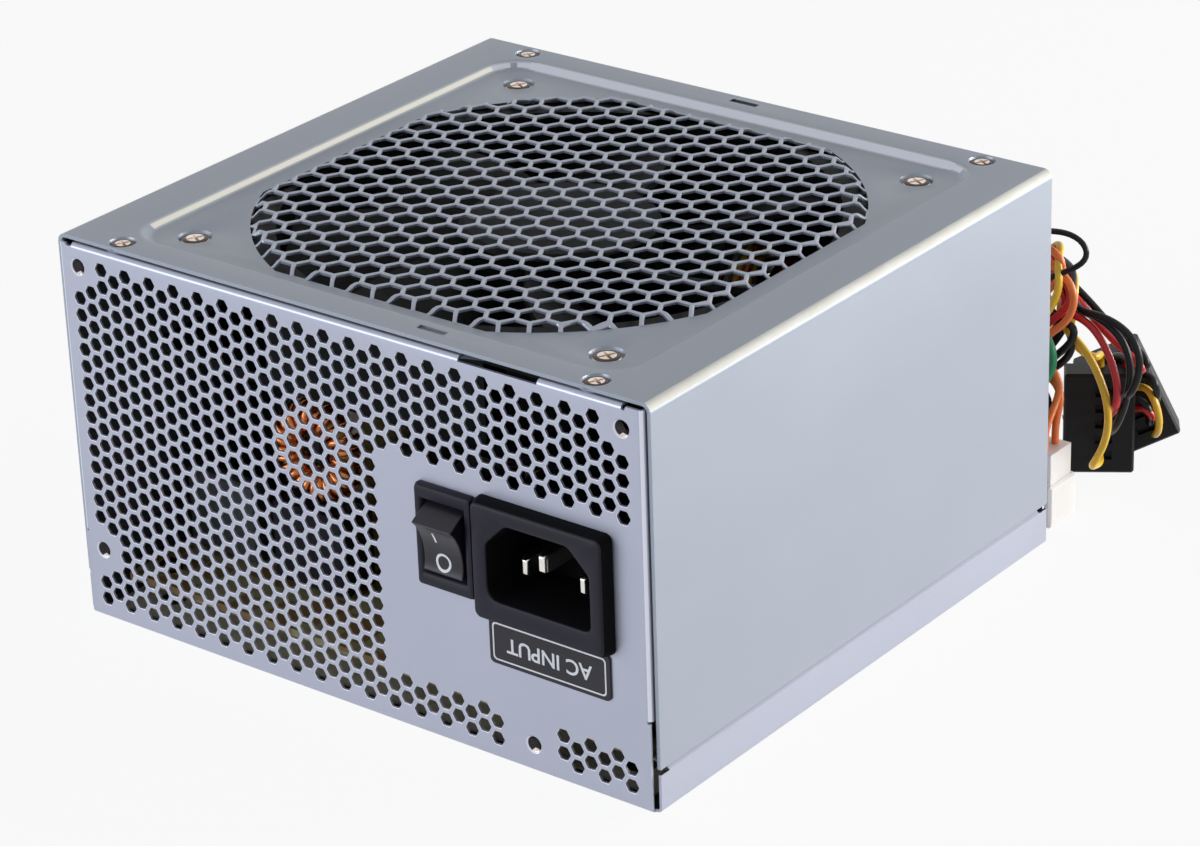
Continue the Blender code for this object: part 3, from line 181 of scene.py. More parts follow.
looks = {
    "panel": sheetFinish("panel sheet", (0.500, 0.522, 0.625), (0.452, 0.474, 0.575), 0.46, 0.38),
    "cover": sheetFinish("cover sheet", (0.400, 0.441, 0.512), (0.356, 0.397, 0.466), 0.30, 0.38),
    "grille": sheetFinish("grille sheet", (0.48, 0.52, 0.61), (0.42, 0.455, 0.54), 0.42, 0.34),
    # painted shade: a darker copy of the sheet for its inner faces, where little light reaches
    "inside": sheetFinish("painted shade inner skin", (0.100, 0.104, 0.115), (0.075, 0.078, 0.086), 0.25, 0.60),
    # painted shade: the collar's threaded wall darkened as it lies in shade
    "bright": metalFinish("painted shade tapped collar", (0.060, 0.055, 0.062), (0.022, 0.020, 0.024), 0.30, 900),
    # nickel darkened to a painted dark reflection; the bright copy further down carries the painted
    # highlights
    "nickel": metalFinish("nickel screw with painted dark reflection", (0.090, 0.066, 0.056), (0.030, 0.021, 0.019), 0.22, 420),
    # painted highlight on the rolled edges round the panel's holes
    "sheared": sheetFinish("painted highlight hole rims", (0.86, 0.88, 1.0), (0.78, 0.80, 0.92), 0.55, 0.34),
    # painted highlights: a cream for the cover's bends, and light copies of the sheet for two slopes of the
    # recess and their soft edges
    "rounded": plasticFinish("painted highlight bend", (0.76, 0.76, 0.69), 0.75),
    "warmSlope": sheetFinish("painted highlight left slope", (0.70, 0.69, 0.63), (0.62, 0.61, 0.55), 0.84, 0.30),
    "coolSlope": sheetFinish("painted highlight rear slope", (0.56, 0.58, 0.66), (0.50, 0.52, 0.60), 0.76, 0.30),
    "slopeEdge": sheetFinish("painted highlight slope edge", (0.47, 0.48, 0.50), (0.42, 0.43, 0.45), 0.56, 0.34),
    # painted highlight: a bright copy of the nickel for the screws' recess and rim and the collars' lower
    # right
    "shine": metalFinish("painted highlight metal", (0.92, 0.84, 0.77), (0.46, 0.36, 0.30), 0.20, 420),
    "black": plasticFinish("black moulding", (0.0115, 0.0102, 0.0190), 0.48, shine=0.20),
    # painted shade: the inlet's black plastic made deeper and duller inside its cavity
    "pit": plasticFinish("inlet cavity", (0.003, 0.003, 0.004), 0.65, shine=0.06),
    "satin": plasticFinish("black rocker", (0.0125, 0.0115, 0.0185), 0.34, 1400, 0.00003, 0.15, shine=0.35),
    "fanBlack": plasticFinish("fan plastic", (0.006, 0.006, 0.007), 0.50, 900, 0.00005, 0.15, shine=0.10),
    "mark": plasticFinish("white marking", (0.85, 0.85, 0.88), 0.45),
    "pin": metalFinish("tinned pin", (0.86, 0.84, 0.82), (0.70, 0.67, 0.64), 0.20, 1600),
    "plug": plasticFinish("black plug", (0.0075, 0.0072, 0.0085), 0.42, 1500, 0.00008, 0.3, shine=0.16),
    "alloy": metalFinish("heatsink", (0.78, 0.79, 0.80), (0.62, 0.63, 0.65), 0.38, 300),
    "copper": metalFinish("enamelled copper", (0.75, 0.30, 0.12), (0.52, 0.17, 0.06), 0.26, 500),
    "ferrite": plasticFinish("ferrite", (0.05, 0.05, 0.055), 0.55, 1200, 0.0001, 0.4),
    "sleeveBlack": plasticFinish("can sleeve", (0.02, 0.02, 0.025), 0.25, 300, 0.00005, 0.1),
    "sleeveGreen": plasticFinish("green sleeve", (0.03, 0.20, 0.08), 0.28, 300, 0.00005, 0.1),
    "blueDisc": plasticFinish("blue disc", (0.03, 0.13, 0.55), 0.35, 300, 0.00005, 0.1),
    "tape": plasticFinish("yellow tape", (0.78, 0.55, 0.10), 0.30, 120, 0.0002, 0.2, 1.2),
    "film": plasticFinish("insulating film", (0.72, 0.68, 0.55), 0.40, 60, 0.0003, 0.2, 1.1),
}
wireColours = {"orange": (0.86, 0.20, 0.035), "red": (0.62, 0.012, 0.02), "yellow": (0.90, 0.55, 0.03),
               "black": (0.006, 0.0055, 0.007), "green": (0.02, 0.30, 0.12), "brown": (0.17, 0.06, 0.02),
               "blue": (0.03, 0.10, 0.45), "grey": (0.28, 0.28, 0.30), "purple": (0.22, 0.07, 0.36)}
for key, colour in wireColours.items():
    looks["wire " + key] = wireFinish(key + " wire", colour)


def nylonFinish():
    f = Finish("natural nylon", Roughness=0.34, Subsurface_Weight=0.45,
               Subsurface_Radius=(0.004, 0.004, 0.0035), Subsurface_Scale=1.0)
    haze = f.noise(120, 3)
    f.set("Base Color", f.blend(haze, (0.86, 0.84, 0.82), (0.76, 0.74, 0.73)))
    return f.bump(f.noise(900, 2), 0.12, 0.00005).material


def boardFinish():
    # brown laminate with solder-side tracks and pads
    f = Finish("board laminate")
    fibre = f.noise(500, 4, 0.7)
    cells = f.node("ShaderNodeTexVoronoi", {"distance": "CHEBYCHEV"}, {"Vector": f.place(), "Scale": 130.0})
    laminate = f.blend(fibre, (0.34, 0.22, 0.09), (0.26, 0.16, 0.06))
    f.set("Base Color", f.blend(cells > 0.42, laminate, (0.42, 0.40, 0.22)))
    f.set("Roughness", fibre * 0.2 + 0.35)
    return f.bump(fibre, 0.2, 0.0001).material


def earthFinish():
    # green insulation with a yellow stripe
    f = Finish("earth lead", Roughness=0.36)
    band = f.node("ShaderNodeTexWave", {"bands_direction": "DIAGONAL"}, {"Vector": f.place(), "Scale": 60.0})
    f.set("Base Color", f.blend(band > 0.5, (0.02, 0.30, 0.08), (0.80, 0.62, 0.03)))
    return f.bump(f.noise(1500, 2), 0.1, 0.00004).material


looks["nylon"] = nylonFinish()
looks["board"] = boardFinish()
looks["wire earth"] = earthFinish()
print("finishes made:", len(looks))


# mesh helpers
def piece(name, bm, finishes, body="case", stands=(), flat=35, weld=True):
    # finishes: one name, or several with commas; a face's material index picks its own
    if weld:
        bmesh.ops.remove_doubles(bm, verts=bm.verts, dist=0.000002)
    mesh = bpy.data.meshes.new(name)
    bm.to_mesh(mesh)
    bm.free()
    for finish in finishes.split(", "):
        mesh.materials.append(looks[finish])
    ob = bpy.data.objects.new(name, mesh)
    scene.collection.objects.link(ob)
    mesh.shade_smooth()
    mesh.set_sharp_from_angle(angle=radians(flat))
    return claim(ob, body, stands)


def claim(ob, body="case", stands=()):
    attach(ob, body)
    if stands:
        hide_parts(*stands)
    return ob


def soften(ob, width, segments, angle):
    mod = ob.modifiers.new("edges", "BEVEL")
    mod.width, mod.segments, mod.limit_method = width, segments, "ANGLE"
    mod.angle_limit, mod.use_clamp_overlap, mod.harden_normals = radians(angle), True, False
    ob.modifiers.new("normals", "WEIGHTED_NORMAL").keep_sharp = False
    ob.data.shade_smooth()


def ring(bm, points):
    return [bm.verts.new(p) for p in points]


def loopEdges(bm, verts):
    return [bm.edges.get((a, b)) or bm.edges.new((a, b)) for a, b in zip(verts, verts[1:] + verts[:1])]


def bridge(bm, a, b):
    for i in range(len(a)):
        j = (i + 1) % len(a)
        bm.faces.new((a[i], a[j], b[j], b[i]))


def stack(bm, rows):
    for a, b in zip(rows, rows[1:]):
        bridge(bm, a, b)


def cup(bm, rows):
    # joins the rows, closes the last one and gives back the first
    stack(bm, rows)
    bm.faces.new(rows[-1])
    return rows[0]


def faceOut(bm):
    bmesh.ops.recalc_face_normals(bm, faces=bm.faces)


def fill(bm, *loops):
    edges = [e for loop in loops for e in loopEdges(bm, loop)]
    bmesh.ops.triangle_fill(bm, use_beauty=True, use_dissolve=False, edges=edges)


def addBox(bm, x0, x1, y0, y1, z0, z1):
    size = Matrix.Diagonal((x1 - x0, y1 - y0, z1 - z0, 1))
    middle = Matrix.Translation(((x0 + x1) / 2, (y0 + y1) / 2, (z0 + z1) / 2))
    return bmesh.ops.create_cube(bm, size=1, matrix=middle @ size)["verts"]


def addTub(bm, x0, x1, depth, z0, z1):
    # the body behind the panel, open at its front
    tub = addBox(bm, x0, x1, frontY, depth, z0, z1)
    front = [f for f in bm.faces if all(v in tub and v.co.y < frontY + 1e-5 for v in f.verts)]
    bmesh.ops.delete(bm, geom=front, context="FACES_ONLY")


def lathe(bm, profile, centre, steps=32, upright=False):
    # turns a closed profile of (radius, height) about the Z axis, or about Y
    spin = Matrix.Rotation(pi / 2, 4, "X") if upright else Matrix.Identity(4)
    place = Matrix.Translation(centre) @ spin
    rows = []
    for r, z in profile:
        turns = [2 * pi * i / steps for i in range(steps)]
        rows.append(ring(bm, [place @ Vector((r * cos(t), r * sin(t), z)) for t in turns]))
    stack(bm, rows + rows[:1])
    faceOut(bm)


def quarter(a, b, radius, steps=6):
    a, b = Vector(a), Vector(b)
    angles = [pi / 2 * (i + 1) / steps for i in range(steps)]
    return [a * radius * sin(t) + b * radius * (1 - cos(t)) for t in angles]


def fold(bm, edge, offsets):
    base = [v.co.copy() for v in edge]
    row = edge
    for offset in offsets:
        nextRow = [bm.verts.new(co + Vector(offset)) for co in base]
        for i in range(len(row) - 1):
            bm.faces.new((row[i], row[i + 1], nextRow[i + 1], nextRow[i]))
        row = nextRow
    return row


def thicken(bm, outward, thickness):
    # gives an open skin its sheet thickness, inward from the side that outward names
    faceOut(bm)
    spot, normal = Vector(outward[0]), Vector(outward[1])
    nearest = min(bm.faces, key=lambda f: (f.calc_center_median() - spot).length)
    if nearest.normal.dot(normal) < 0:
        bmesh.ops.reverse_faces(bm, faces=bm.faces)
    mesh = bpy.data.meshes.new("skin")
    bm.to_mesh(mesh)
    bm.free()
    ob = bpy.data.objects.new("skin", mesh)
    scene.collection.objects.link(ob)
    mod = ob.modifiers.new("sheet", "SOLIDIFY")
    mod.thickness, mod.offset, mod.use_even_offset = thickness, -1, True
    solid = bpy.data.meshes.new_from_object(ob.evaluated_get(bpy.context.evaluated_depsgraph_get()))
    bpy.data.objects.remove(ob)
    bpy.data.meshes.remove(mesh)
    made = bmesh.new()
    made.from_mesh(solid)
    bpy.data.meshes.remove(solid)
    return made


# tray: one folded sheet with the front panel's vents
gap, sheet, skin, bend = case["gap"], case["sheet"], case["skin"], case["bend"]
tray = {"seam": 0.0092, "jog": 0.0009, "tongue": 0.0048, "tongueEnd": 0.004, "panelStep": 0.0014,
        "notch": 0.0194, "slit": 0.0005, "relief": (0.0045, 0.0060), "nick": (0.0031, 0.0049),
        "drop": (0.0007, 0.0010, 0.0002), "nip": 0.0003, "clear": 0.0002, "flange": 0.0065,
        "sideFlange": 0.010, "window": (0.0304, 0.0494)}
vents = {"pitch": 0.00381, "step": 0.003285, "left": -0.069135, "hole": 0.00286, "bottom": 0.00455,
         "columns": 43, "roll": 0.00010, "ease": 0.00015}
mountHole = {"wide": 0.00195, "tight": 0.00168, "roll": 0.00025}
mountHoles = ((-0.069, 0.080), (-0.069, 0.016), (0.069, 0.080), (0.045, 0.006))
switch = {"x": 0.0261, "z": 0.0454, "bezel": (0.0143, 0.0219), "proud": 0.0018, "body": (0.0128, 0.0200),
          "depth": 0.0160, "opening": 0.0078, "width": 0.0097, "radius": 0.0074, "edge": 52, "tilt": 15,
          "pivot": 0.0004, "hollow": 0.0016, "play": 0.00025, "swell": 0.0004,
          "keel": ((0.0030, 0.0040), (0.0046, 0.0), (0.0030, -0.0040))}
inlet = {"x": 0.0501, "z": 0.0454, "bezel": (0.0336, 0.0661, 0.0318, 0.0575), "proud": 0.0032,
         "opening": (0.0249, 0.0168), "chamfer": 0.0050, "body": (0.0358, 0.0645, 0.0340, 0.0560),
         "cavity": 0.0165, "back": 0.0065}
exits = {"x": 0.0015, "spacing": 0.0090, "z": 0.050, "main": 0.0050, "drive": 0.0033, "bore": 0.0093,
         "neck": 0.0114}

flangeTop = topZ - sheet - gap
sideX = halfX - sheet - gap
panelX = halfX - tray["panelStep"]
foldX = sideX - bend
reliefLeft, reliefRight = (halfX - r for r in tray["relief"])
nickLeft, nickRight = (halfX - r for r in tray["nick"])
foldTop = flangeTop - bend
leftDrop, rightDrop, rightLow = (flangeTop - d for d in tray["drop"])
sideTop = flangeTop - tray["clear"]
stripX = halfX - bend
stripY = halfY - bend - tray["clear"]
tongueY = halfY - tray["tongueEnd"]


def endPanel(bm, side, window):
    y, inward = side * halfY, (0, -side, 0)
    low, high, nip = tray["notch"], tray["notch"] + tray["slit"], tray["nip"]
    outline = [(-panelX, bend), (panelX, bend), (panelX, low), (foldX, low), (foldX, high), (foldX, rightLow),
               (nickRight, rightLow), (nickRight - nip, rightDrop), (reliefRight + nip, rightDrop),
               (reliefRight, rightDrop + nip), (reliefRight, foldTop)]
    first = len(outline) - 1
    if window:
        outline += [(tray["window"][1], foldTop), (tray["window"][0], foldTop)]
    outline += [(-reliefLeft, foldTop), (-reliefLeft, leftDrop + nip), (-reliefLeft - nip, leftDrop),
                (-nickLeft + nip, leftDrop), (-nickLeft, leftDrop + nip), (-nickLeft, sideTop),
                (-foldX, sideTop), (-foldX, high), (-foldX, low), (-panelX, low)]
    corner = [bm.verts.new((x, y, z)) for x, z in outline]
    bm.faces.new(corner)
    topFold = quarter((0, 0, 1), inward, bend)
    topFold.append(topFold[-1] + Vector(inward) * (tray["flange"] - bend))
    fold(bm, [corner[first], corner[first + 1]], topFold)
    if window:
        fold(bm, [corner[first + 2], corner[first + 3]], topFold)
    last = len(corner)
    for sign, edge in ((1, [corner[4], corner[5]]), (-1, [corner[last - 4], corner[last - 3]])):
        sideFold = quarter((sign, 0, 0), inward, bend)
        sideFold.append(sideFold[-1] + Vector(inward) * (tray["sideFlange"] - bend))
        fold(bm, edge, sideFold)
    return fold(bm, [corner[0], corner[1]], quarter((0, 0, -1), inward, bend))


def roundedHex(x, z, across):
    # flat-top hexagon with each corner eased, in the panel's plane
    corners = [Vector(p) for p in circle(0, 0, across / sqrt(3), 6)]
    points = []
    for k, here in enumerate(corners):
        for other in (corners[k - 1], corners[(k + 1) % 6]):
            points.append(here + (other - here).normalized() * vents["ease"])
    return [(x + p.x, z + p.y) for p in points]


def circle(x, z, radius, steps=24):
    turns = [2 * pi * i / steps for i in range(steps)]
    return [(x + radius * cos(t), z + radius * sin(t)) for t in turns]


def ventSpots():
    # two interleaved columns, without the places of the mounting holes, the switch and the inlet
    gone = {(0, r) for r in (2, 3, 4, 19, 20)} | {(1, r) for r in (2, 3, 19)} | {(41, 19), (42, 19), (42, 20)}
    gone |= {(c, r) for c in range(24, 43) for r in range(2, 15)}
    gone |= {(c, r) for c in range(33, 37) for r in (0, 1)}
    spots = []
    for c in range(vents["columns"]):
        odd = c % 2
        for r in range(21 - odd):
            if (c, r) not in gone:
                spots.append((vents["left"] + c * vents["step"],
                              vents["bottom"] + vents["pitch"] * (r + (0.5 if odd else 0))))
    return spots


def perforate(bm, plane, side, shapes):
    # cuts through the panel; each shape is its loop at the face, its loop below the edge and the edge's depth
    inner = plane - side * skin
    rims = []
    for level in (plane, inner):
        flat = [f for f in bm.faces if abs(f.calc_center_median().y - level) < 1e-5]
        rims.append(max(flat, key=lambda f: f.calc_area()))
    edges = [list(f.edges) for f in rims]
    bmesh.ops.delete(bm, geom=rims, context="FACES_ONLY")
    a, b, c = [], [], []
    for wide, tight, roll in shapes:
        a.append(ring(bm, [(x, plane, z) for x, z in wide]))
        b.append(ring(bm, [(x, plane - side * roll, z) for x, z in tight]) if roll else a[-1])
        c.append(ring(bm, [(x, inner, z) for x, z in tight]))
    for rings, rim in ((a, edges[0]), (c, edges[1])):
        every = rim + [e for loop in rings for e in loopEdges(bm, loop)]
        bmesh.ops.triangle_fill(bm, use_beauty=True, edges=every)
    for one, two, three in zip(a, b, c):
        if one is not two:
            bridge(bm, one, two)
        bridge(bm, two, three)


shade = {"heart": 0.043, "fieldFloor": 0.0838, "rolled": 0.0004, "panel": (0.0745, 0.003, 0.082),
         "flat": 0.97}


def paintShadeAndHighlight(bm):
    # the sheet's inner side takes the second finish, a painted shade, and the rolled edges of the panel's
    # holes the third, a painted highlight
    heart = Vector((0, 0, shade["heart"]))
    wide, low, high = shade["panel"]
    for f in bm.faces:
        c = f.calc_center_median()
        deep = abs(c.y) < halfY - skin * 0.9 and not (c.z > shade["fieldFloor"] and f.normal.z > 0)
        f.material_index = 1 if deep and f.normal.dot(heart - c) > 0 else 0
        rolled = halfY - shade["rolled"] < abs(c.y) < halfY - 0.00001 and abs(c.x) < wide and low < c.z < high
        if rolled and abs(f.normal.y) < shade["flat"]:
            f.material_index = 2


bm = bmesh.new()
frontRow = endPanel(bm, -1, True)
rearRow = endPanel(bm, 1, False)
right, left = (ring(bm, [(x, y, 0) for y in (-stripY, stripY)]) for x in (stripX, -stripX))
bm.faces.new([frontRow[0], frontRow[1], right[0], right[1], rearRow[1], rearRow[0], left[1], left[0]])
for sign, edge in ((1, right), (-1, left)):
    low = fold(bm, edge, quarter((sign, 0, 0), (0, 0, 1), bend))
    level = tray["seam"] - tray["jog"]
    high = ring(bm, [(sign * halfX, y, level) for y in (-stripY, -tongueY, tongueY, stripY)])
    bm.faces.new([low[0], low[1], high[3], high[2], high[1], high[0]])
    inset = sign * (sideX - halfX)
    fold(bm, high[1:3], [(inset * 0.5, 0, tray["jog"] * 0.4), (inset, 0, tray["jog"]),
                         (inset, 0, tray["jog"] + tray["tongue"])])
bm = thicken(bm, ((0, frontY, topZ / 2), (0, -1, 0)), skin)
hole, roll = vents["hole"], vents["roll"]
shapes = [(roundedHex(x, z, hole + 2 * roll), roundedHex(x, z, hole), roll) for x, z in ventSpots()]
shapes += [(circle(x, z, mountHole["wide"]), circle(x, z, mountHole["tight"]), mountHole["roll"])
           for x, z in mountHoles]
switchBody = [switch["x"] - switch["body"][0] / 2, switch["x"] + switch["body"][0] / 2,
              switch["z"] - switch["body"][1] / 2, switch["z"] + switch["body"][1] / 2]
for x0, x1, z0, z1 in (switchBody, inlet["body"]):
    hole = [(x0 - gap, z0 - gap), (x1 + gap, z0 - gap), (x1 + gap, z1 + gap), (x0 - gap, z1 + gap)]
    shapes.append((hole, hole, 0))
perforate(bm, frontY, -1, shapes)
exitCentre = exits["x"] - exits["main"] + (exits["main"] + exits["spacing"] + exits["drive"]) / 2
hole = circle(exitCentre, exits["z"], exits["neck"] + gap, 48)
perforate(bm, rearY, 1, [(hole, hole, 0)])
faceOut(bm)
paintShadeAndHighlight(bm)
piece("tray_shell", bm, "panel, inside, sheared", stands=["chassis_base"], flat=30)
print("tray shell with", len(shapes) - 2, "openings")


# the last three entries place the collar's painted highlight
collar = {"inner": 0.00154, "thread": 0.00020, "turn": 0.00040, "turns": 6, "wall": 0.0006,
          "paintedHighlightFrom": -1.95, "paintedHighlightTo": -0.75, "paintedHighlightDepth": (0.0002, 0.0013)}
for i, (x, z) in enumerate(mountHoles):
    bm = bmesh.new()
    profile = []
    for k in range(collar["turns"]):
        profile += [(collar["inner"] + collar["thread"], -collar["turn"] * k),
                    (collar["inner"], -collar["turn"] * (k + 0.5))]
    deep = collar["turn"] * collar["turns"]
    profile += [(collar["inner"] + collar["wall"], -deep), (collar["inner"] + collar["wall"], 0)]
    lathe(bm, profile, (x, frontY + skin * 0.5, z), 28, upright=True)
    near, far = collar["paintedHighlightDepth"]
    for f in bm.faces:  # painted highlight on the lower right of the first turns, painted shade on the rest
        c = f.calc_center_median()
        low = collar["paintedHighlightFrom"] < atan2(c.z - z, c.x - x) < collar["paintedHighlightTo"]
        f.material_index = 1 if low and near < c.y - frontY < far else 0
    piece("mount_collar_%d" % (i + 1), bm, "bright, shine", flat=50)


# cover: sides, recessed top, dimples and the raised grille
field = {"insetX": 0.0115, "insetY": 0.0075, "depth": 0.0016, "slope": 0.0027, "corner": 0.0088, "steps": 9,
         "tighten": 0.8}
grille = {"radius": 0.063, "flat": 0.057, "rise": 0.0013, "slope": 0.0020, "pitch": 0.00601, "step": 0.00520,
          "hole": 0.00512, "ease": 0.00022, "roll": 0.00018, "thick": 0.0005, "reach": 13, "arc": 14,
          "spare": (0.008, 0.006), "cuts": (0.35, 0.7, 1.0)}
screws = {"coverX": 0.0601, "coverY": 0.0655, "coverHead": 0.0051, "coverDish": (0.0029, 0.0023),
          "fanAt": 0.0525, "fanHead": 0.0061, "fanDish": (0.0037, 0.0029), "dimple": 0.0010, "lift": 0.0005}
tabs = {"places": ((0.0202, -0.0649), (-0.0010, 0.06615)), "length": 0.0070, "width": 0.0016, "drop": 0.0005,
        "floor": 0.72}
fieldZ = topZ - field["depth"]
coverY = halfY - case["setback"]
coverScrews = [(sx * screws["coverX"], sy * screws["coverY"]) for sy in (-1, 1) for sx in (-1, 1)]
fanScrews = [(sx * screws["fanAt"], sy * screws["fanAt"]) for sy in (-1, 1) for sx in (-1, 1)]


def roundedRect(hx, hy, radius, z, steps=8):
    points = []
    for k, (sx, sy) in enumerate(((1, 1), (-1, 1), (-1, -1), (1, -1))):
        for i in range(steps + 1):
            t = (k + i / steps) * pi / 2
            points.append((sx * (hx - radius) + radius * cos(t), sy * (hy - radius) + radius * sin(t), z))
    return points


def trimmedCircle(radius, flat, z, steps=18):
    half = sqrt(radius ** 2 - flat ** 2)
    start = atan2(half, flat)
    points = []
    for k in range(4):
        for i in range(steps + 1):
            t = k * pi / 2 + start + (pi / 2 - 2 * start) * i / steps
            points.append((radius * cos(t), radius * sin(t), z))
    return points


def flatRing(bm, x, y, radius, z, steps):
    return ring(bm, [(u, v, z) for u, v in circle(x, y, radius, steps)])


def dish(bm, x, y, level, outer, floor):
    # a pressed dimple: a rounded lip that runs down to a flat floor
    lip = ((1, 0), (0.90, 0.04), (0.76, 0.24), (0.50, 0.74), (0.25, 0.96), (0, 1))
    return cup(bm, [flatRing(bm, x, y, floor + (outer - floor) * share, level - screws["dimple"] * fall, 32)
                    for share, fall in lip])


def tab(bm, x, y):
    # a tab sheared down at one end: flush at its right, low at its left
    half, low = tabs["length"] / 2, topZ - tabs["drop"]
    y0, y1 = y - tabs["width"] / 2, y + tabs["width"] / 2
    return cup(bm, [ring(bm, [(x - half, y0, z), (x + right, y0, z), (x + right, y1, z), (x - half, y1, z)])
                    for right, z in ((half, topZ), (half * tabs["floor"], low))])


bm = bmesh.new()
fieldX, fieldY = halfX - field["insetX"], halfY - field["insetY"]
rimX = halfX - case["coverBend"]
rim = ring(bm, [(rimX, -coverY, topZ), (rimX, coverY, topZ), (-rimX, coverY, topZ), (-rimX, -coverY, topZ)])
profile = []
for i in range(field["steps"] + 1):
    t = i / field["steps"]
    profile.append((field["slope"] * t, field["depth"] * (t * t * (3 - 2 * t))))
rows = []
for run, fall in profile:
    corner = field["corner"] - run * field["tighten"]
    rows.append(ring(bm, roundedRect(fieldX - run, fieldY - run, corner, topZ - fall)))
stack(bm, rows)
borderDimples = [dish(bm, x, y, topZ, *screws["coverDish"]) for x, y in coverScrews]
fill(bm, rim, rows[0], *[tab(bm, x, y) for x, y in tabs["places"]], *borderDimples)
foot = ring(bm, trimmedCircle(grille["radius"], grille["flat"], fieldZ))
fill(bm, rows[-1], foot, *[dish(bm, x, y, fieldZ, *screws["fanDish"]) for x, y in fanScrews])
drop = topZ - tray["seam"] - gap
for sign, edge in ((1, rim[:2]), (-1, rim[2:])):
    down = quarter((sign, 0, 0), (0, 0, -1), case["coverBend"])
    down.append(down[-1] + Vector((0, 0, case["coverBend"] - drop)))
    fold(bm, edge, down)
bm = thicken(bm, ((0, -(fieldY + coverY) / 2, topZ), (0, 0, 1)), sheet)
# the cover's inner faces take the painted shade too
paintShadeAndHighlight(bm)
# the bends down to the sides and two slopes of the recess take painted highlights, lighter than the flats
finishes = "cover, inside, rounded, warmSlope, coolSlope, slopeEdge"
# limits of the painted highlights on the left and rear slopes
leftSlope = {"end": 0.9, "steep": 0.80, "edge": 0.86}
rearSlope = {"left": -0.060, "steep": 0.82, "edge": 0.90}
for f in bm.faces:
    c, n = f.calc_center_median(), f.normal
    within = abs(c.x) < fieldX and abs(c.y) < fieldY
    if f.material_index == 1 or not 0.2 < n.z < 0.97 or not (within or abs(c.x) > rimX):
        continue
    if abs(c.x) > rimX:
        f.material_index = 2
    elif c.x < -fieldX + field["slope"] and abs(c.y) < fieldY - field["corner"] * leftSlope["end"]:
        f.material_index = 3 if n.z < leftSlope["steep"] else 5 if n.z < leftSlope["edge"] else 0
    elif c.y > fieldY - field["slope"] or (c.x < rearSlope["left"] and c.y > fieldY - field["corner"]):
        f.material_index = 4 if n.z < rearSlope["steep"] else 5 if n.z < rearSlope["edge"] else 0
piece("cover_shell", bm, finishes, stands=["top_cover"], flat=30)
print("cover shell done")


def hexDistance(x, y):
    # how far a point is from the nearest hole's centre, measured square to the hexagon's sides
    c = round(x / grille["step"])
    best = 1
    for col in (c - 1, c, c + 1):
        shift = grille["pitch"] / 2 if col % 2 else 0
        r = round((y - shift) / grille["pitch"])
        dx, dy = abs(x - col * grille["step"]), abs(y - shift - r * grille["pitch"])
        best = min(best, max(dy, dx * sqrt(3) / 2 + dy / 2))
    return best


def grilleSides(run):
    # the straight sides of the grille's outline, each a point on it and its way out, moved in by run
    outline = trimmedCircle(grille["radius"] - run, grille["flat"] - run, 0, grille["arc"])
    points = [Vector(p) for p in outline]
    for a, b in zip(points, points[1:] + points[:1]):
        if (b - a).length > 1e-6:
            yield a, Vector((b.y - a.y, a.x - b.x, 0)).normalized()


def split(bm, run, clear):
    for spot, outward in grilleSides(run):
        bmesh.ops.bisect_plane(bm, geom=bm.verts[:] + bm.edges[:] + bm.faces[:], plane_co=spot,
                               plane_no=outward, clear_outer=clear, dist=1e-7)


bm = bmesh.new()
across = (grille["pitch"], grille["hole"] + 2 * grille["ease"], grille["hole"])
reach, spare = grille["reach"], grille["spare"]
for c in range(-reach, reach + 1):
    for r in range(-reach, reach + 1):
        x, y = c * grille["step"], r * grille["pitch"] + (grille["pitch"] / 2 if c % 2 else 0)
        if hypot(x, y) < grille["radius"] + spare[0] and max(abs(x), abs(y)) < grille["flat"] + spare[1]:
            stack(bm, [flatRing(bm, x, y, width / sqrt(3), 0, 6) for width in across])
bmesh.ops.remove_doubles(bm, verts=bm.verts, dist=0.00002)
split(bm, 0, True)
for part in grille["cuts"]:  # edges for the slope up from the field
    split(bm, grille["slope"] * part, False)
lines = list(grilleSides(0))
for v in bm.verts:
    inside = min((spot - v.co).dot(outward) for spot, outward in lines)
    t = max(0.0, min(1.0, inside / grille["slope"]))
    d = hexDistance(v.co.x, v.co.y) - grille["hole"] / 2
    ease = max(0.0, min(1.0, 1 - d / grille["ease"]))
    v.co.z = fieldZ + grille["rise"] * (t * t * (3 - 2 * t)) - grille["roll"] * ease
faceOut(bm)
if sum(f.normal.z for f in bm.faces) < 0:
    bmesh.ops.reverse_faces(bm, faces=bm.faces)
grown = bmesh.ops.extrude_edge_only(bm, edges=[e for e in bm.edges if e.is_boundary])
for v in (g for g in grown["geom"] if isinstance(g, bmesh.types.BMVert)):
    v.co.z -= grille["thick"]
webs = piece("fan_grille", bm, "grille", flat=40, weld=False)
print("grille done:", len(webs.data.polygons), "faces")


# screws with a cross recess
screwShape = {"crown": 0.00050, "sink": 0.00024, "arm": 0.00036, "taper": 0.8, "wing": 0.30, "deep": 0.0012,
              "tip": 0.55, "turn": 0.3, "under": -0.0011, "recess": 0.57, "rim": 0.94, "steps": 36}


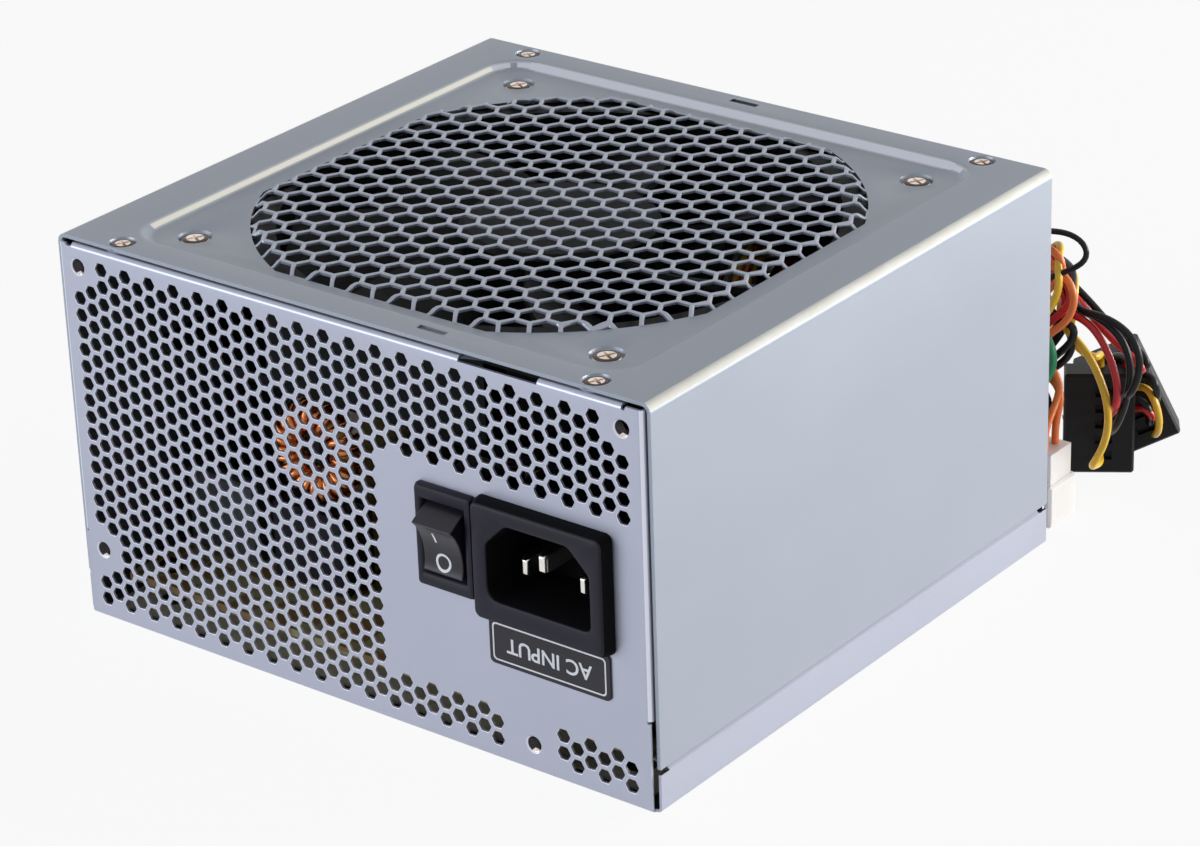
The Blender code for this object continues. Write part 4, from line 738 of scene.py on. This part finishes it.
def crossScrew(name, x, y, level, head, node):
    bm = bmesh.new()
    r, crown, arm, wing = head / 2, screwShape["crown"], screwShape["arm"], head * screwShape["wing"]
    seat = level - screwShape["sink"]
    top = seat + crown
    outline = []
    end = arm * screwShape["taper"]
    for k in range(4):
        a = k * pi / 2 + pi / 4 + screwShape["turn"]
        for u, v in ((arm, arm), (wing, end), (wing, -end)):
            outline.append((x + u * cos(a) + v * sin(a), y + u * sin(a) - v * cos(a)))
    outline.sort(key=lambda p: atan2(p[1] - y, p[0] - x))
    tip = screwShape["tip"]
    cross = ring(bm, [(u, v, top) for u, v in outline])
    foot = ring(bm, [(x + (u - x) * tip, y + (v - y) * tip, top - screwShape["deep"]) for u, v in outline])
    cup(bm, [cross, foot])
    profile = ((0.62, crown), (0.80, crown * 0.82), (0.92, crown * 0.5), (0.985, crown * 0.1),
               (1.0, -crown * 0.35), (0.97, -crown * 0.8), (0.62, screwShape["under"]))
    rows = [flatRing(bm, x, y, r * share, seat + h, screwShape["steps"]) for share, h in profile]
    fill(bm, rows[0], cross)
    stack(bm, rows)
    faceOut(bm)
    for f in bm.faces:  # painted highlights on the recess and the rim, a painted dark reflection on the ring between them
        c = f.calc_center_median()
        away = hypot(c.x - x, c.y - y) / r
        rim = away > screwShape["rim"] and c.z > seat - crown * 0.3
        f.material_index = 1 if away < screwShape["recess"] or rim else 0
    piece(name, bm, "nickel, shine", stands=[node], flat=38)


for kind, places, level in (("cover", coverScrews, topZ), ("fan", fanScrews, fieldZ)):
    for i, (x, y) in enumerate(places):
        crossScrew("%s_screw_head_%d" % (kind, i + 1), x, y, level - screws["dimple"] + screws["lift"],
                   screws[kind + "Head"], "%s_screw_%d" % (kind, i + 1))


# switch and its rocker
def panelLoop(part, half, y, radius, steps):
    # a rounded rectangle round the part's centre, in the panel's plane or in front of it
    return [(part["x"] + u, y, part["z"] + v) for u, v, _ in roundedRect(*half, radius, 0, steps)]


bm = bmesh.new()
bezel = (switch["bezel"][0] / 2, switch["bezel"][1] / 2)
opening = (switch["width"] / 2 + switch["play"], switch["opening"])
face = frontY - switch["proud"]
# how far each loop stands outside its edge, its depth and its corner
bezelLoops = ((0, frontY - 0.0001, 0.0008), (0, frontY - 0.0009, 0.0008), (-0.00035, face + 0.00012, 0.0007),
              (-0.0007, face, 0.0006))
openingLoops = ((0.0006, face, 0.0003), (0.0002, face + 0.0003, 0.0002), (0, face + 0.0008, 0.0002),
                (0, frontY + 0.012, 0.0002))
cup(bm, [ring(bm, panelLoop(switch, (edge[0] + out, edge[1] + out), y, corner, 4))
         for edge, loops in ((bezel, bezelLoops), (opening, openingLoops)) for out, y, corner in loops])
addTub(bm, *switchBody[:2], frontY + switch["depth"], *switchBody[2:])
piece("switch_frame", bm, "black", stands=["switch_housing"], flat=40)


def onArc(degree):
    return -switch["radius"] * cos(radians(degree)), switch["radius"] * sin(radians(degree))


profile = [onArc(degree) for degree in range(-100, -57, 6)]
edgeY, edgeZ = onArc(switch["edge"])
endY, endZ = onArc(100)
hollow = switch["hollow"]
profile += [(edgeY + hollow * (1 - (t / 7) ** 2) ** 0.8, edgeZ * t / 7) for t in range(-7, 8)]
for t in (0.2, 0.4, 0.6, 0.8, 1.0):
    lift = switch["swell"] * t * (1 - t)
    profile.append((edgeY + (endY - edgeY) * t - lift, edgeZ + (endZ - edgeZ) * t + lift))
profile += switch["keel"]
pivot = Vector((switch["x"], frontY + switch["pivot"], switch["z"]))
tilt = Matrix.Rotation(radians(switch["tilt"]), 4, "X")
bm = bmesh.new()
ends = [ring(bm, [pivot + tilt @ Vector((x, u, v)) for u, v in profile])
        for x in (-switch["width"] / 2, switch["width"] / 2)]
bridge(bm, *ends)
for loop in ends:
    bm.faces.new(loop)
faceOut(bm)
rocker = piece("rocker_key", bm, "satin", "switch_rocker", ["rocker"], flat=25)
soften(rocker, 0.00030, 3, 40)


def rockerFace(v):
    return edgeY + hollow * max(0.0, 1 - (v / edgeZ) ** 2) ** 0.8


def marking(name, left, right, closed):
    # a painted band between two lines, just above the rocker's hollow face
    def onRocker(u, v):
        lean = (rockerFace(v + 0.0001) - rockerFace(v - 0.0001)) / 0.0002
        out = Vector((0, -1, lean)).normalized()
        return pivot + tilt @ (Vector((u, rockerFace(v), v)) + out * marks["lift"])

    bm = bmesh.new()
    a, b = (ring(bm, [onRocker(u, v) for u, v in line]) for line in (left, right))
    for i in range(len(a) if closed else len(a) - 1):
        j = (i + 1) % len(a)
        bm.faces.new((a[i], a[j], b[j], b[i]))
    faceOut(bm)
    piece(name, bm, "mark", "switch_rocker", flat=60)


marks = {"ring": (0.0001, -0.0035, 0.00192), "line": 0.00056, "bar": (-0.0012, -0.00074), "low": 0.0009,
         "high": 0.0035, "lift": 0.00005}
x, z, radius = marks["ring"]
marking("rocker_mark_off", circle(x, z, radius, 48), circle(x, z, radius - marks["line"], 48), True)
heights = [marks["low"] + (marks["high"] - marks["low"]) * i / 8 for i in range(9)]
marking("rocker_mark_on", *[[(x, v) for v in heights] for x in marks["bar"]], False)
print("switch done")


# inlet with its cavity and pins
left, right, bottom, top = inlet["bezel"]
centre = {"x": (left + right) / 2, "z": (bottom + top) / 2}
inletFace = frontY - inlet["proud"]
cavityEnd = inletFace + inlet["cavity"]


def socketLoop(grow, y):
    # the opening's outline: a rectangle with its two upper corners cut, each corner rounded by a curve
    w, h, k = inlet["opening"][0] / 2 + grow, inlet["opening"][1] / 2 + grow, inlet["chamfer"] + grow * 0.4
    corners = [(-w, -h, 0.0030), (w, -h, 0.0016), (w, h - k, 0.0010), (w - k, h, 0.0010), (-w + k, h, 0.0010),
               (-w, h - k, 0.0010)]
    points = []
    for i, (u, v, r) in enumerate(corners):
        here = Vector((u, v))
        before = (Vector(corners[i - 1][:2]) - here).normalized()
        after = (Vector(corners[(i + 1) % 6][:2]) - here).normalized()
        a, b = here + before * r, here + after * r
        for t in (0, 0.25, 0.5, 0.75, 1):
            p = a * (1 - t) ** 2 + here * 2 * t * (1 - t) + b * t * t
            points.append((inlet["x"] + p.x, y, inlet["z"] + p.y))
    return points


bm = bmesh.new()
rows = [ring(bm, panelLoop(centre, ((right - left) / 2 - inset, (top - bottom) / 2 - inset), y, corner, 6))
        for inset, y, corner in ((0, frontY - 0.0001, 0.0016), (0.00015, frontY - 0.0016, 0.0016),
                                 (0.0006, inletFace + 0.00035, 0.0015), (0.0008, inletFace + 0.0001, 0.0014),
                                 (0.0011, inletFace, 0.0012))]
stack(bm, rows)
mouth = cup(bm, [ring(bm, socketLoop(grow, y))
                 for grow, y in ((0.00040, inletFace), (0.00012, inletFace + 0.00012),
                                 (0, inletFace + 0.0004), (0, cavityEnd))])
for f in bm.faces:  # the cavity takes a painted shade: the black plastic made darker and duller than the moulding
    f.material_index = 1 if f.calc_center_median().y > inletFace + 0.0006 else 0
fill(bm, rows[-1], mouth)
addTub(bm, *inlet["body"][:2], cavityEnd + inlet["back"], *inlet["body"][2:])
faceOut(bm)
piece("inlet_moulding", bm, "black, pit", stands=["inlet_body"], flat=40)

pins = {"live_pin": (-0.0070, -0.0021, frontY + 0.0017), "neutral_pin": (0.0070, -0.0021, frontY + 0.0017),
        "earth_pin": (0.0, 0.0020, inletFace + 0.0014)}
pinTail = 0.006
for name, (dx, dz, tipY) in pins.items():
    bm = bmesh.new()
    x, z = inlet["x"] + dx, inlet["z"] + dz
    rows = [ring(bm, [(x - hx, y, z - hz), (x + hx, y, z - hz), (x + hx, y, z + hz), (x - hx, y, z + hz)])
            for y, hx, hz in ((tipY, 0.00045, 0.00145), (tipY + 0.0005, 0.00080, 0.00180),
                              (tipY + 0.0013, 0.0010, 0.0020),
                              (cavityEnd + inlet["back"] + pinTail, 0.0010, 0.0020))]
    bm.faces.new(cup(bm, rows))
    faceOut(bm)
    soften(piece(name + "_blade", bm, "pin", stands=[name], flat=30), 0.00018, 2, 25)
print("inlet done")


# label plate: a bordered blank with a plain marking
plate = {"x": 0.0501, "z": 0.0267, "half": (0.0147, 0.0050), "thick": 0.0004, "line": 0.00035,
         "inset": 0.0009, "text": "AC INPUT", "size": 0.0046, "ink": 0.00004}
back = frontY - 0.0001
top = back - plate["thick"]


def plateLoop(inset, y, radius):
    return panelLoop(plate, (plate["half"][0] - inset, plate["half"][1] - inset), y, radius, 5)


bm = bmesh.new()
edges = ((0, back, 0.0011), (0, top + 0.0001, 0.0011), (0.0001, top, 0.0010))
cup(bm, [ring(bm, plateLoop(*edge)) for edge in edges])
faceOut(bm)
piece("label_blank", bm, "satin", stands=["label_plate"], flat=40)
bm = bmesh.new()
bridge(bm, *[ring(bm, plateLoop(inset, top - plate["ink"], radius))
             for inset, radius in ((plate["inset"], 0.0009), (plate["inset"] + plate["line"], 0.0007))])
piece("label_border", bm, "mark", flat=60)
words = bpy.data.curves.new("label words", "FONT")
words.body, words.size, words.align_x, words.align_y = plate["text"], plate["size"], "CENTER", "CENTER"
words.extrude, words.offset = 0.00002, 0.00007
letters = bpy.data.objects.new("label_words", words)
scene.collection.objects.link(letters)
letters.location = (plate["x"], top - plate["ink"], plate["z"])
letters.rotation_euler = (pi / 2, pi, 0)
words.materials.append(looks["mark"])
claim(letters)


# what shows inside, through the vents and the grille
innerLooks = {
    "board": "circuit_board", "film": "insulating_sheet", "alloy": "primary_heatsink secondary_heatsink",
    "ferrite": "transistor_1 transistor_2 rectifier bridge_rectifier transformer_core",
    "tape": "transformer_winding standby_transformer x_capacitor", "sleeveBlack": "bulk_capacitor",
    "sleeveGreen": "output_capacitor_1 output_capacitor_2", "blueDisc": "y_capacitor",
    "black": "choke_base cable_grommet", "fanBlack": "fan_frame fan_rotor",
    "pin": "fan_shaft fan_bearing switch_terminal_1 switch_terminal_2",
    "copper": "fan_stator emi_choke output_choke", "nylon": "cable_tie main_connector",
    "nickel": "board_screw_1 board_screw_2 board_screw_3 board_screw_4", "plug": "drive_plug_1 drive_plug_2",
    "wire brown": "live_lead switched_lead", "wire blue": "neutral_lead", "wire earth": "earth_lead"}
for look, names in innerLooks.items():
    for name in names.split():
        mesh = nodes[name].data
        mesh.materials.clear()
        mesh.materials.append(looks[look])


def tubeCurve(name, points, radius, look, resolution=3, cyclic=False):
    curve = bpy.data.curves.new(name, "CURVE")
    curve.dimensions, curve.bevel_depth, curve.bevel_resolution = "3D", radius, resolution
    curve.use_fill_caps = not cyclic
    spline = curve.splines.new("POLY")
    spline.points.add(len(points) - 1)
    spline.use_cyclic_u = cyclic
    spline.use_smooth = True
    for point, co in zip(spline.points, points):
        point.co = (*co, 1)
    curve.materials.append(looks[look])
    ob = bpy.data.objects.new(name, curve)
    scene.collection.objects.link(ob)
    return ob


def toroid(node, major, minor, turns, wire, upright=False):
    # a ring core wound with real turns of wire, at its CAD piece's centre
    low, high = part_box(node)
    centre = (low + high) / 2
    place = Matrix.Translation(centre) @ (Matrix.Rotation(pi / 2, 4, "X") if upright else Matrix.Identity(4))
    bm = bmesh.new()
    lathe(bm, circle(major, 0, minor - wire * 2, 16), centre, 48, upright)
    piece(node + "_coil_core", bm, "tape", stands=[node], flat=60)
    points = []
    count = turns * 20
    for i in range(count):
        t = 2 * pi * i / count
        a = turns * t
        r = major + (minor - wire) * cos(a)
        points.append(place @ Vector((r * cos(t), r * sin(t), (minor - wire) * sin(a))))
    claim(tubeCurve(node + "_coil_winding", points, wire, "copper", 2, True))


toroid("input_choke", 0.0080, 0.0037, 24, 0.00085, True)
toroid("emi_choke", 0.0090, 0.0045, 26, 0.0008)
toroid("output_choke", 0.0095, 0.0050, 26, 0.0008)
print("inside done")


# cords: every wire has its own line
wires = {"radius": 0.00085, "senseRadius": 0.00065, "spacing": 0.0012, "medium": 6, "limp": 2,
         "packed": 0.00006, "drivePacked": 0.0001}


def smooth(points, steps=6):
    pts = [Vector(p) for p in points]
    pts = [2 * pts[0] - pts[1]] + pts + [2 * pts[-1] - pts[-2]]
    line = []
    for a, b, c, d in zip(pts, pts[1:], pts[2:], pts[3:]):
        for i in range(steps):
            t = i / steps
            line.append(0.5 * ((2 * b) + (c - a) * t + (2 * a - 5 * b + 4 * c - d) * t * t
                               + (3 * b - a - 3 * c + d) * t ** 3))
    return line + [pts[-2]]


def carried(line):
    # side and up directions that turn smoothly along a line
    frames = []
    side = Vector((1, 0, 0))
    for i, p in enumerate(line):
        run = (line[min(i + 1, len(line) - 1)] - line[max(i - 1, 0)]).normalized()
        side = (side - run * side.dot(run)).normalized()
        frames.append((p, side, run.cross(side)))
    return frames


def behind(points):
    # points given in tenths of a millimetre, measured from the rear panel's face
    return [(x / 10000, rearY + y / 10000, z / 10000) for x, y, z in points]


def evenly(line, spacing):
    # the same way with its points at equal distances
    lengths = [0.0]
    for a, b in zip(line, line[1:]):
        lengths.append(lengths[-1] + (b - a).length)
    count = max(12, round(lengths[-1] / spacing))
    points, k = [], 0
    for i in range(count):
        at = lengths[-1] * i / count
        while lengths[k + 1] < at:
            k += 1
        points.append(line[k].lerp(line[k + 1], (at - lengths[k]) / max(lengths[k + 1] - lengths[k], 1e-9)))
    return points + [line[-1]]


def relaxed(line, rounds):
    # eases the turns as a real wire does, with both ends left where they are
    line = evenly(line, wires["spacing"])
    for _ in range(rounds):
        inner = [line[i] * 0.5 + (line[i - 1] + line[i + 1]) * 0.25 for i in range(2, len(line) - 2)]
        line = line[:2] + inner + line[-2:]
    return line


def wire(name, line, look, far, stands, withPieces, stiffness="medium", radius=wires["radius"]):
    line = relaxed(line, wires[stiffness])
    ob = tubeCurve(name, line, radius, "wire " + look)
    claim(ob, stands=stands)
    length = sum((b - a).length for a, b in zip(line, line[1:]))
    radius * 2


def hexOffsets(count, spacing):
    spots = []
    for q in range(-4, 5):
        for r in range(-4, 5):
            x, y = spacing * (q + r / 2), spacing * r * sqrt(3) / 2
            spots.append((round(hypot(x, y), 7), x, y))
    spots.sort(key=lambda s: (s[0], atan2(s[2], s[1])))
    return [(x, y) for _, x, y in spots[:count]]


connector = {"row": rearY + 0.0096, "top": 0.0172, "first": 0.0690, "pitch": 0.0046, "side": 0.0021,
             "above": 0.0046, "sunk": 0.0006}
mainRoute = [(15, 10, 500), (15, 140, 497), (-10, 260, 440), (-100, 380, 320), (-240, 440, 180),
             (-400, 420, 76), (-520, 310, 54), (-500, 180, 54), (-360, 100, 54), (-180, 100, 56),
             (-20, 140, 62), (120, 200, 90), (260, 235, 170), (380, 250, 280)]
frames = carried(smooth(behind(mainRoute)))
strands = 19
packed = hexOffsets(strands, 2 * wires["radius"] + wires["packed"])
offsets = [packed[(i * 7) % strands] for i in range(strands)]  # out of order, so that the colours mix
# each wire's own way over the top and down to its place in the connector, nearest places first
ways = [
    ("orange", [(590, 180, 370), (646, 140, 339), (665, 140, 335), (681, 140, 319), (689, 140, 296),
                (684, 135, 272)]),
    ("orange", [(590, 170, 335), (647, 150, 306), (666, 150, 302), (682, 148, 286), (689, 144, 263),
                (686, 134, 245)]),
    ("black", [(590, 165, 310), (647, 130, 281), (664, 126, 273), (676, 122, 256), (670, 118, 236)]),
    ("orange", [(590, 160, 285), (648, 140, 256), (663, 138, 248), (664, 130, 232)]),
    ("green", [(590, 180, 470), (645, 135, 421), (658, 130, 408), (673, 130, 387), (676, 130, 355),
               (664, 125, 310)]),
    ("orange", [(605, 190, 560), (664, 140, 564), (689, 140, 559), (710, 140, 542), (719, 140, 508),
                (711, 140, 471), (689, 135, 438), (651, 130, 408), (605, 120, 350)]),
    ("black", [(600, 200, 430), (658, 165, 432), (702, 162, 440), (712, 162, 424), (700, 160, 395),
               (672, 160, 365), (630, 150, 320)]),
    ("yellow", [(630, 200, 590), (683, 125, 573), (693, 120, 555), (691, 120, 528), (676, 120, 492),
                (651, 120, 451), (605, 125, 380)]),
    ("red", [(610, 200, 520), (674, 157, 542), (696, 157, 525), (702, 157, 502), (691, 152, 473),
             (651, 150, 435), (600, 140, 370)]),
    ("orange", [(600, 180, 580), (646, 145, 602), (662, 140, 610), (679, 140, 604), (688, 140, 584),
                (684, 145, 554), (669, 155, 533), (640, 160, 505), (600, 160, 430)]),
    ("red", [(600, 200, 560), (647, 162, 590), (662, 158, 586), (672, 158, 570), (668, 165, 550),
             (640, 175, 520), (590, 170, 420)]),
    ("black", [(560, 230, 480), (650, 195, 520), (680, 185, 480), (672, 180, 420), (620, 160, 340)]),
    ("red", [(560, 230, 460), (640, 205, 495), (664, 200, 462), (650, 190, 415), (600, 165, 350)]),
    ("black", [(560, 220, 440), (650, 190, 425), (692, 182, 392), (684, 178, 352), (630, 162, 305)]),
    ("orange", [(550, 225, 430), (620, 200, 440), (650, 190, 410), (640, 182, 370), (590, 165, 320)]),
    ("yellow", [(540, 235, 450), (600, 215, 470), (625, 205, 430), (610, 190, 380), (560, 170, 320)]),
    ("grey", [(520, 240, 440), (570, 225, 460), (590, 210, 420), (560, 185, 350)]),
    ("purple", [(510, 240, 420), (550, 225, 435), (560, 210, 400), (520, 185, 330)]),
    ("black", [(500, 240, 400), (530, 220, 400), (520, 200, 350), (470, 180, 300)]),
]


def seat(k):
    # place k in the connector: its wire's last points
    x = connector["first"] - connector["pitch"] * (k // 2)
    y = connector["row"] + (connector["side"] if k % 2 else -connector["side"])
    return [(x, y, connector["top"] + connector["above"]), (x, y, connector["top"] - connector["sunk"])]


for i, (colour, bends) in enumerate(ways):
    u, v = offsets[i]
    line = [p + side * u + up * v for p, side, up in frames]
    way = behind(bends)
    tip = seat(i)
    (x0, y0, z0), (x1, y1, z1) = way[-1], tip[0]
    way.append((x0 * 0.4 + x1 * 0.6, y0 * 0.5 + y1 * 0.5, z0 * 0.5 + z1 * 0.5))
    line = line[:-1] + smooth([line[-1]] + way + tip)
    wire("main_wire_%02d" % (i + 1), line, colour, "connector", [] if i else ["main_cable"], "main_connector")
senseWay = [(15, 20, 555), (100, 160, 580), (300, 260, 580), (500, 240, 605), (605, 160, 636),
            (656, 140, 650), (689, 140, 656), (732, 140, 648), (751, 140, 624), (742, 140, 598),
            (691, 130, 564), (655, 110, 547), (590, 100, 480), (500, 100, 360)]
wire("sense_wire", smooth(behind(senseWay) + seat(19), 8), "black", "connector", [], "main_connector",
     radius=wires["senseRadius"])

# drive plugs: one turned stands upright, one leans behind it
plug = {"turn": radians(33), "at": (0.0600, rearY + 0.030, 0.0001), "above": 0.0034, "sunk": 0.0006}
along = Vector((cos(plug["turn"]), sin(plug["turn"]), 0))
facing = Vector((sin(plug["turn"]), -cos(plug["turn"]), 0))
upright = Vector((0, 0, 1))


def byPlug(a, out, high):
    return Vector(plug["at"]) + along * (a / 10000) + facing * (out / 10000) + upright * (high / 10000)


driveX = exits["x"] + exits["spacing"]
driveStart = [(105, 10, 500), (150, 160, 510), (200, 280, 500), (360, 360, 480), (520, 360, 470),
              (600, 310, 472)]
# colour, how far back the way lies, its points, then where it enters the plug: along, out, up
driveWays = [
    ("black", 200, [(691, 457), (743, 455), (800, 441), (835, 412), (847, 375), (843, 333), (821, 285)],
     (96, 0, 196)),
    ("black", 210, [(673, 451), (717, 449), (774, 426), (807, 389), (818, 347), (816, 305), (802, 240),
                    (780, 190)], (92, 0, 120)),
    ("red", 190, [(664, 450), (691, 447), (730, 432), (766, 391), (789, 344), (801, 297), (795, 255)],
     (96, 0, 158)),
    ("yellow", 180, [(661, 425), (687, 405), (723, 375), (750, 338), (773, 290), (784, 243), (782, 193),
                     (766, 142), (745, 106)], (80, 0, 44)),
    ("red", 300, [(650, 410), (711, 361), (751, 334), (782, 321), (798, 296)], (136, -44, 236)),
    ("black", 320, [(655, 415), (707, 372), (761, 343), (790, 322), (797, 295)], (108, -46, 236)),
    ("yellow", 280, [(632, 432), (628, 385), (624, 345), (650, 318), (690, 312)], (80, -44, 236)),
]
driveFrames = carried(smooth(behind(driveStart)))
driveOffsets = hexOffsets(7, 2 * wires["radius"] + wires["drivePacked"])
for i, (colour, back, bends, place) in enumerate(driveWays):
    u, v = driveOffsets[i]
    line = [p + side * u + up * v for p, side, up in driveFrames]
    spot, enter = byPlug(*place), facing if place[1] == 0 else upright
    tail = behind([(x, back, z) for x, z in bends])
    tail += [spot + enter * plug["above"], spot - enter * plug["sunk"]]
    line = line[:-1] + smooth([line[-1]] + tail)
    wire("drive_wire_%d" % (i + 1), line, colour, "plug", [] if i else ["drive_cable"], "drive_plug_1")
# the short wires on to the second plug: along, out, up
linkWays = [
    ("yellow", [(10, -33, 192), (90, -33, 192), (152, -33, 194), (168, -30, 199), (184, -12, 200),
                (201, 0, 168), (210, -10, 120), (206, -40, 78), (199, -92, 58)]),
    ("black", [(-1, -33, 165), (90, -33, 165), (152, -33, 166), (166, -32, 168), (178, -24, 162),
               (190, -22, 136), (193, -40, 105), (188, -98, 88)]),
    ("red", [(-1, -33, 118), (80, -33, 137), (152, -33, 143), (171, -30, 150), (189, -16, 142),
             (196, -34, 117), (187, -75, 107), (184, -125, 106)]),
    ("black", [(10, -33, 215), (90, -33, 215), (152, -33, 218), (166, -30, 226), (184, -6, 238),
               (200, 4, 215), (204, -20, 172), (196, -92, 140)]),
]
for i, (colour, bends) in enumerate(linkWays):
    line = smooth([byPlug(*place) for place in bends], 7)
    wire("link_wire_%d" % (i + 1), line, colour, "plug", [] if i else ["link_cable"], "drive_plug_2", "limp")

# inside the case: a web in the grommet, and the leads that come up to it from the board
web = {"thick": 0.0016, "at": rearY - 0.0004, "outer": exits["bore"] - 0.0001, "main": 0.0048,
       "drive": 0.0031}
bm = bmesh.new()
faces = []
for y in (web["at"], web["at"] - web["thick"]):
    faces.append([ring(bm, [(u, y, v) for u, v in circle(x, exits["z"], radius, steps)])
                  for x, radius, steps in ((exitCentre, web["outer"], 48), (exits["x"], web["main"], 32),
                                           (driveX, web["drive"], 24))])
    fill(bm, *faces[-1])
for a, b in zip(*faces):
    bridge(bm, a, b)
faceOut(bm)
piece("grommet_web", bm, "black", flat=40)
mainLeads = [(way[0], place) for way, place in zip(ways, offsets)]
driveLeads = [(way[0], place) for way, place in zip(driveWays, driveOffsets)]
for group, (x, leads) in enumerate(((exits["x"], mainLeads), (driveX, driveLeads))):
    for i, (colour, (u, v)) in enumerate(leads):
        bow = [(x + u, -0.0008, exits["z"] + v), (x + u, 0.006, exits["z"] + v),
               (x + u * 1.3, 0.0125, exits["z"] - 0.006 + v * 0.8), (x + u * 1.8, 0.0155, 0.032 + v * 0.5),
               (x + u * 2.2, 0.0150 - v, 0.0135 + 0.0006 * (i % 4))]
        line = smooth([(x, rearY - y, z) for x, y, z in bow], 4)
        name = "inner_lead_%d_%02d" % (group + 1, i + 1)
        claim(tubeCurve(name, line, wires["radius"], "wire " + colour, 2))
print("cords done")


# floor, light and background
studio = {"floorSize": 6.0, "floorDrop": 0.00005, "paper": (0.9, 0.9, 0.9), "floorLift": 0.92, "world": 0.13,
          "sky": (0.86, 0.92, 1), "white": (1, 1, 1)}
lamps = {
    "front lamp": {"at": (-0.60, -1.15, 0.21), "aim": (0, -0.05, 0.04), "size": (0.9, 0.5), "power": 8.9,
                   "colour": (0.86, 0.91, 1.0)},
    "side lamp": {"at": (0.95, 0.85, 0.17), "aim": (0.06, 0, 0.04), "size": (1.4, 0.3), "power": 22.0,
                  "colour": (1.0, 0.98, 0.95)},
    "edge lamp": {"at": (0.22, 0.42, 0.42), "aim": (0, 0, 0.08), "size": (0.2, 0.2), "power": 0.14,
                  "colour": (1.0, 0.98, 0.92)},
    "left lamp": {"at": (-1.05, -0.62, 0.28), "aim": (0, 0, 0.08), "size": (0.35, 0.25), "power": 1.6,
                  "colour": (1.0, 0.99, 0.96)},
}
half = studio["floorSize"]
bm = bmesh.new()
bm.faces.new(ring(bm, [(-half, -half, 0), (half, -half, 0), (half, half, 0), (-half, half, 0)]))
mesh = bpy.data.meshes.new("floor")
bm.to_mesh(mesh)
bm.free()
floor = bpy.data.objects.new("floor", mesh)
scene.collection.objects.link(floor)
floor.location.z = -studio["floorDrop"]
paper = Finish("floor paper")
matt = paper.node("ShaderNodeBsdfDiffuse", None, {0: studio["paper"]})
glow = paper.node("ShaderNodeEmission", None, {0: studio["white"], 1: 1.0})
mix = paper.node("ShaderNodeMixShader", None, {0: paper.lookedAt() * studio["floorLift"], 1: matt, 2: glow})
paper.feed(paper.tree.nodes["Material Output"].inputs[0], mix)
paper.tree.nodes.remove(paper.shader)
mesh.materials.append(paper.material)

scene.world = bpy.data.worlds.new("studio")
scene.world.use_nodes = True
sky = Nodes(scene.world.node_tree)
ground = sky.tree.nodes["Background"]
sky.feed(ground.inputs[0], studio["sky"])
sky.feed(ground.inputs[1], studio["world"])
white = sky.node("ShaderNodeBackground", None, {0: studio["white"], 1: 1.0})
mix = sky.node("ShaderNodeMixShader", None, {0: sky.lookedAt(), 1: Value(sky, ground.outputs[0]), 2: white})
sky.feed(sky.tree.nodes["World Output"].inputs[0], mix)
for name, lamp in lamps.items():
    light = bpy.data.lights.new(name, "AREA")
    light.shape, light.size, light.size_y = "RECTANGLE", *lamp["size"]
    light.energy, light.color = lamp["power"], lamp["colour"]
    ob = bpy.data.objects.new(name, light)
    scene.collection.objects.link(ob)
    ob.location = lamp["at"]
    ob.rotation_euler = (Vector(lamp["aim"]) - Vector(lamp["at"])).to_track_quat("-Z", "Y").to_euler()

print("scene ready")
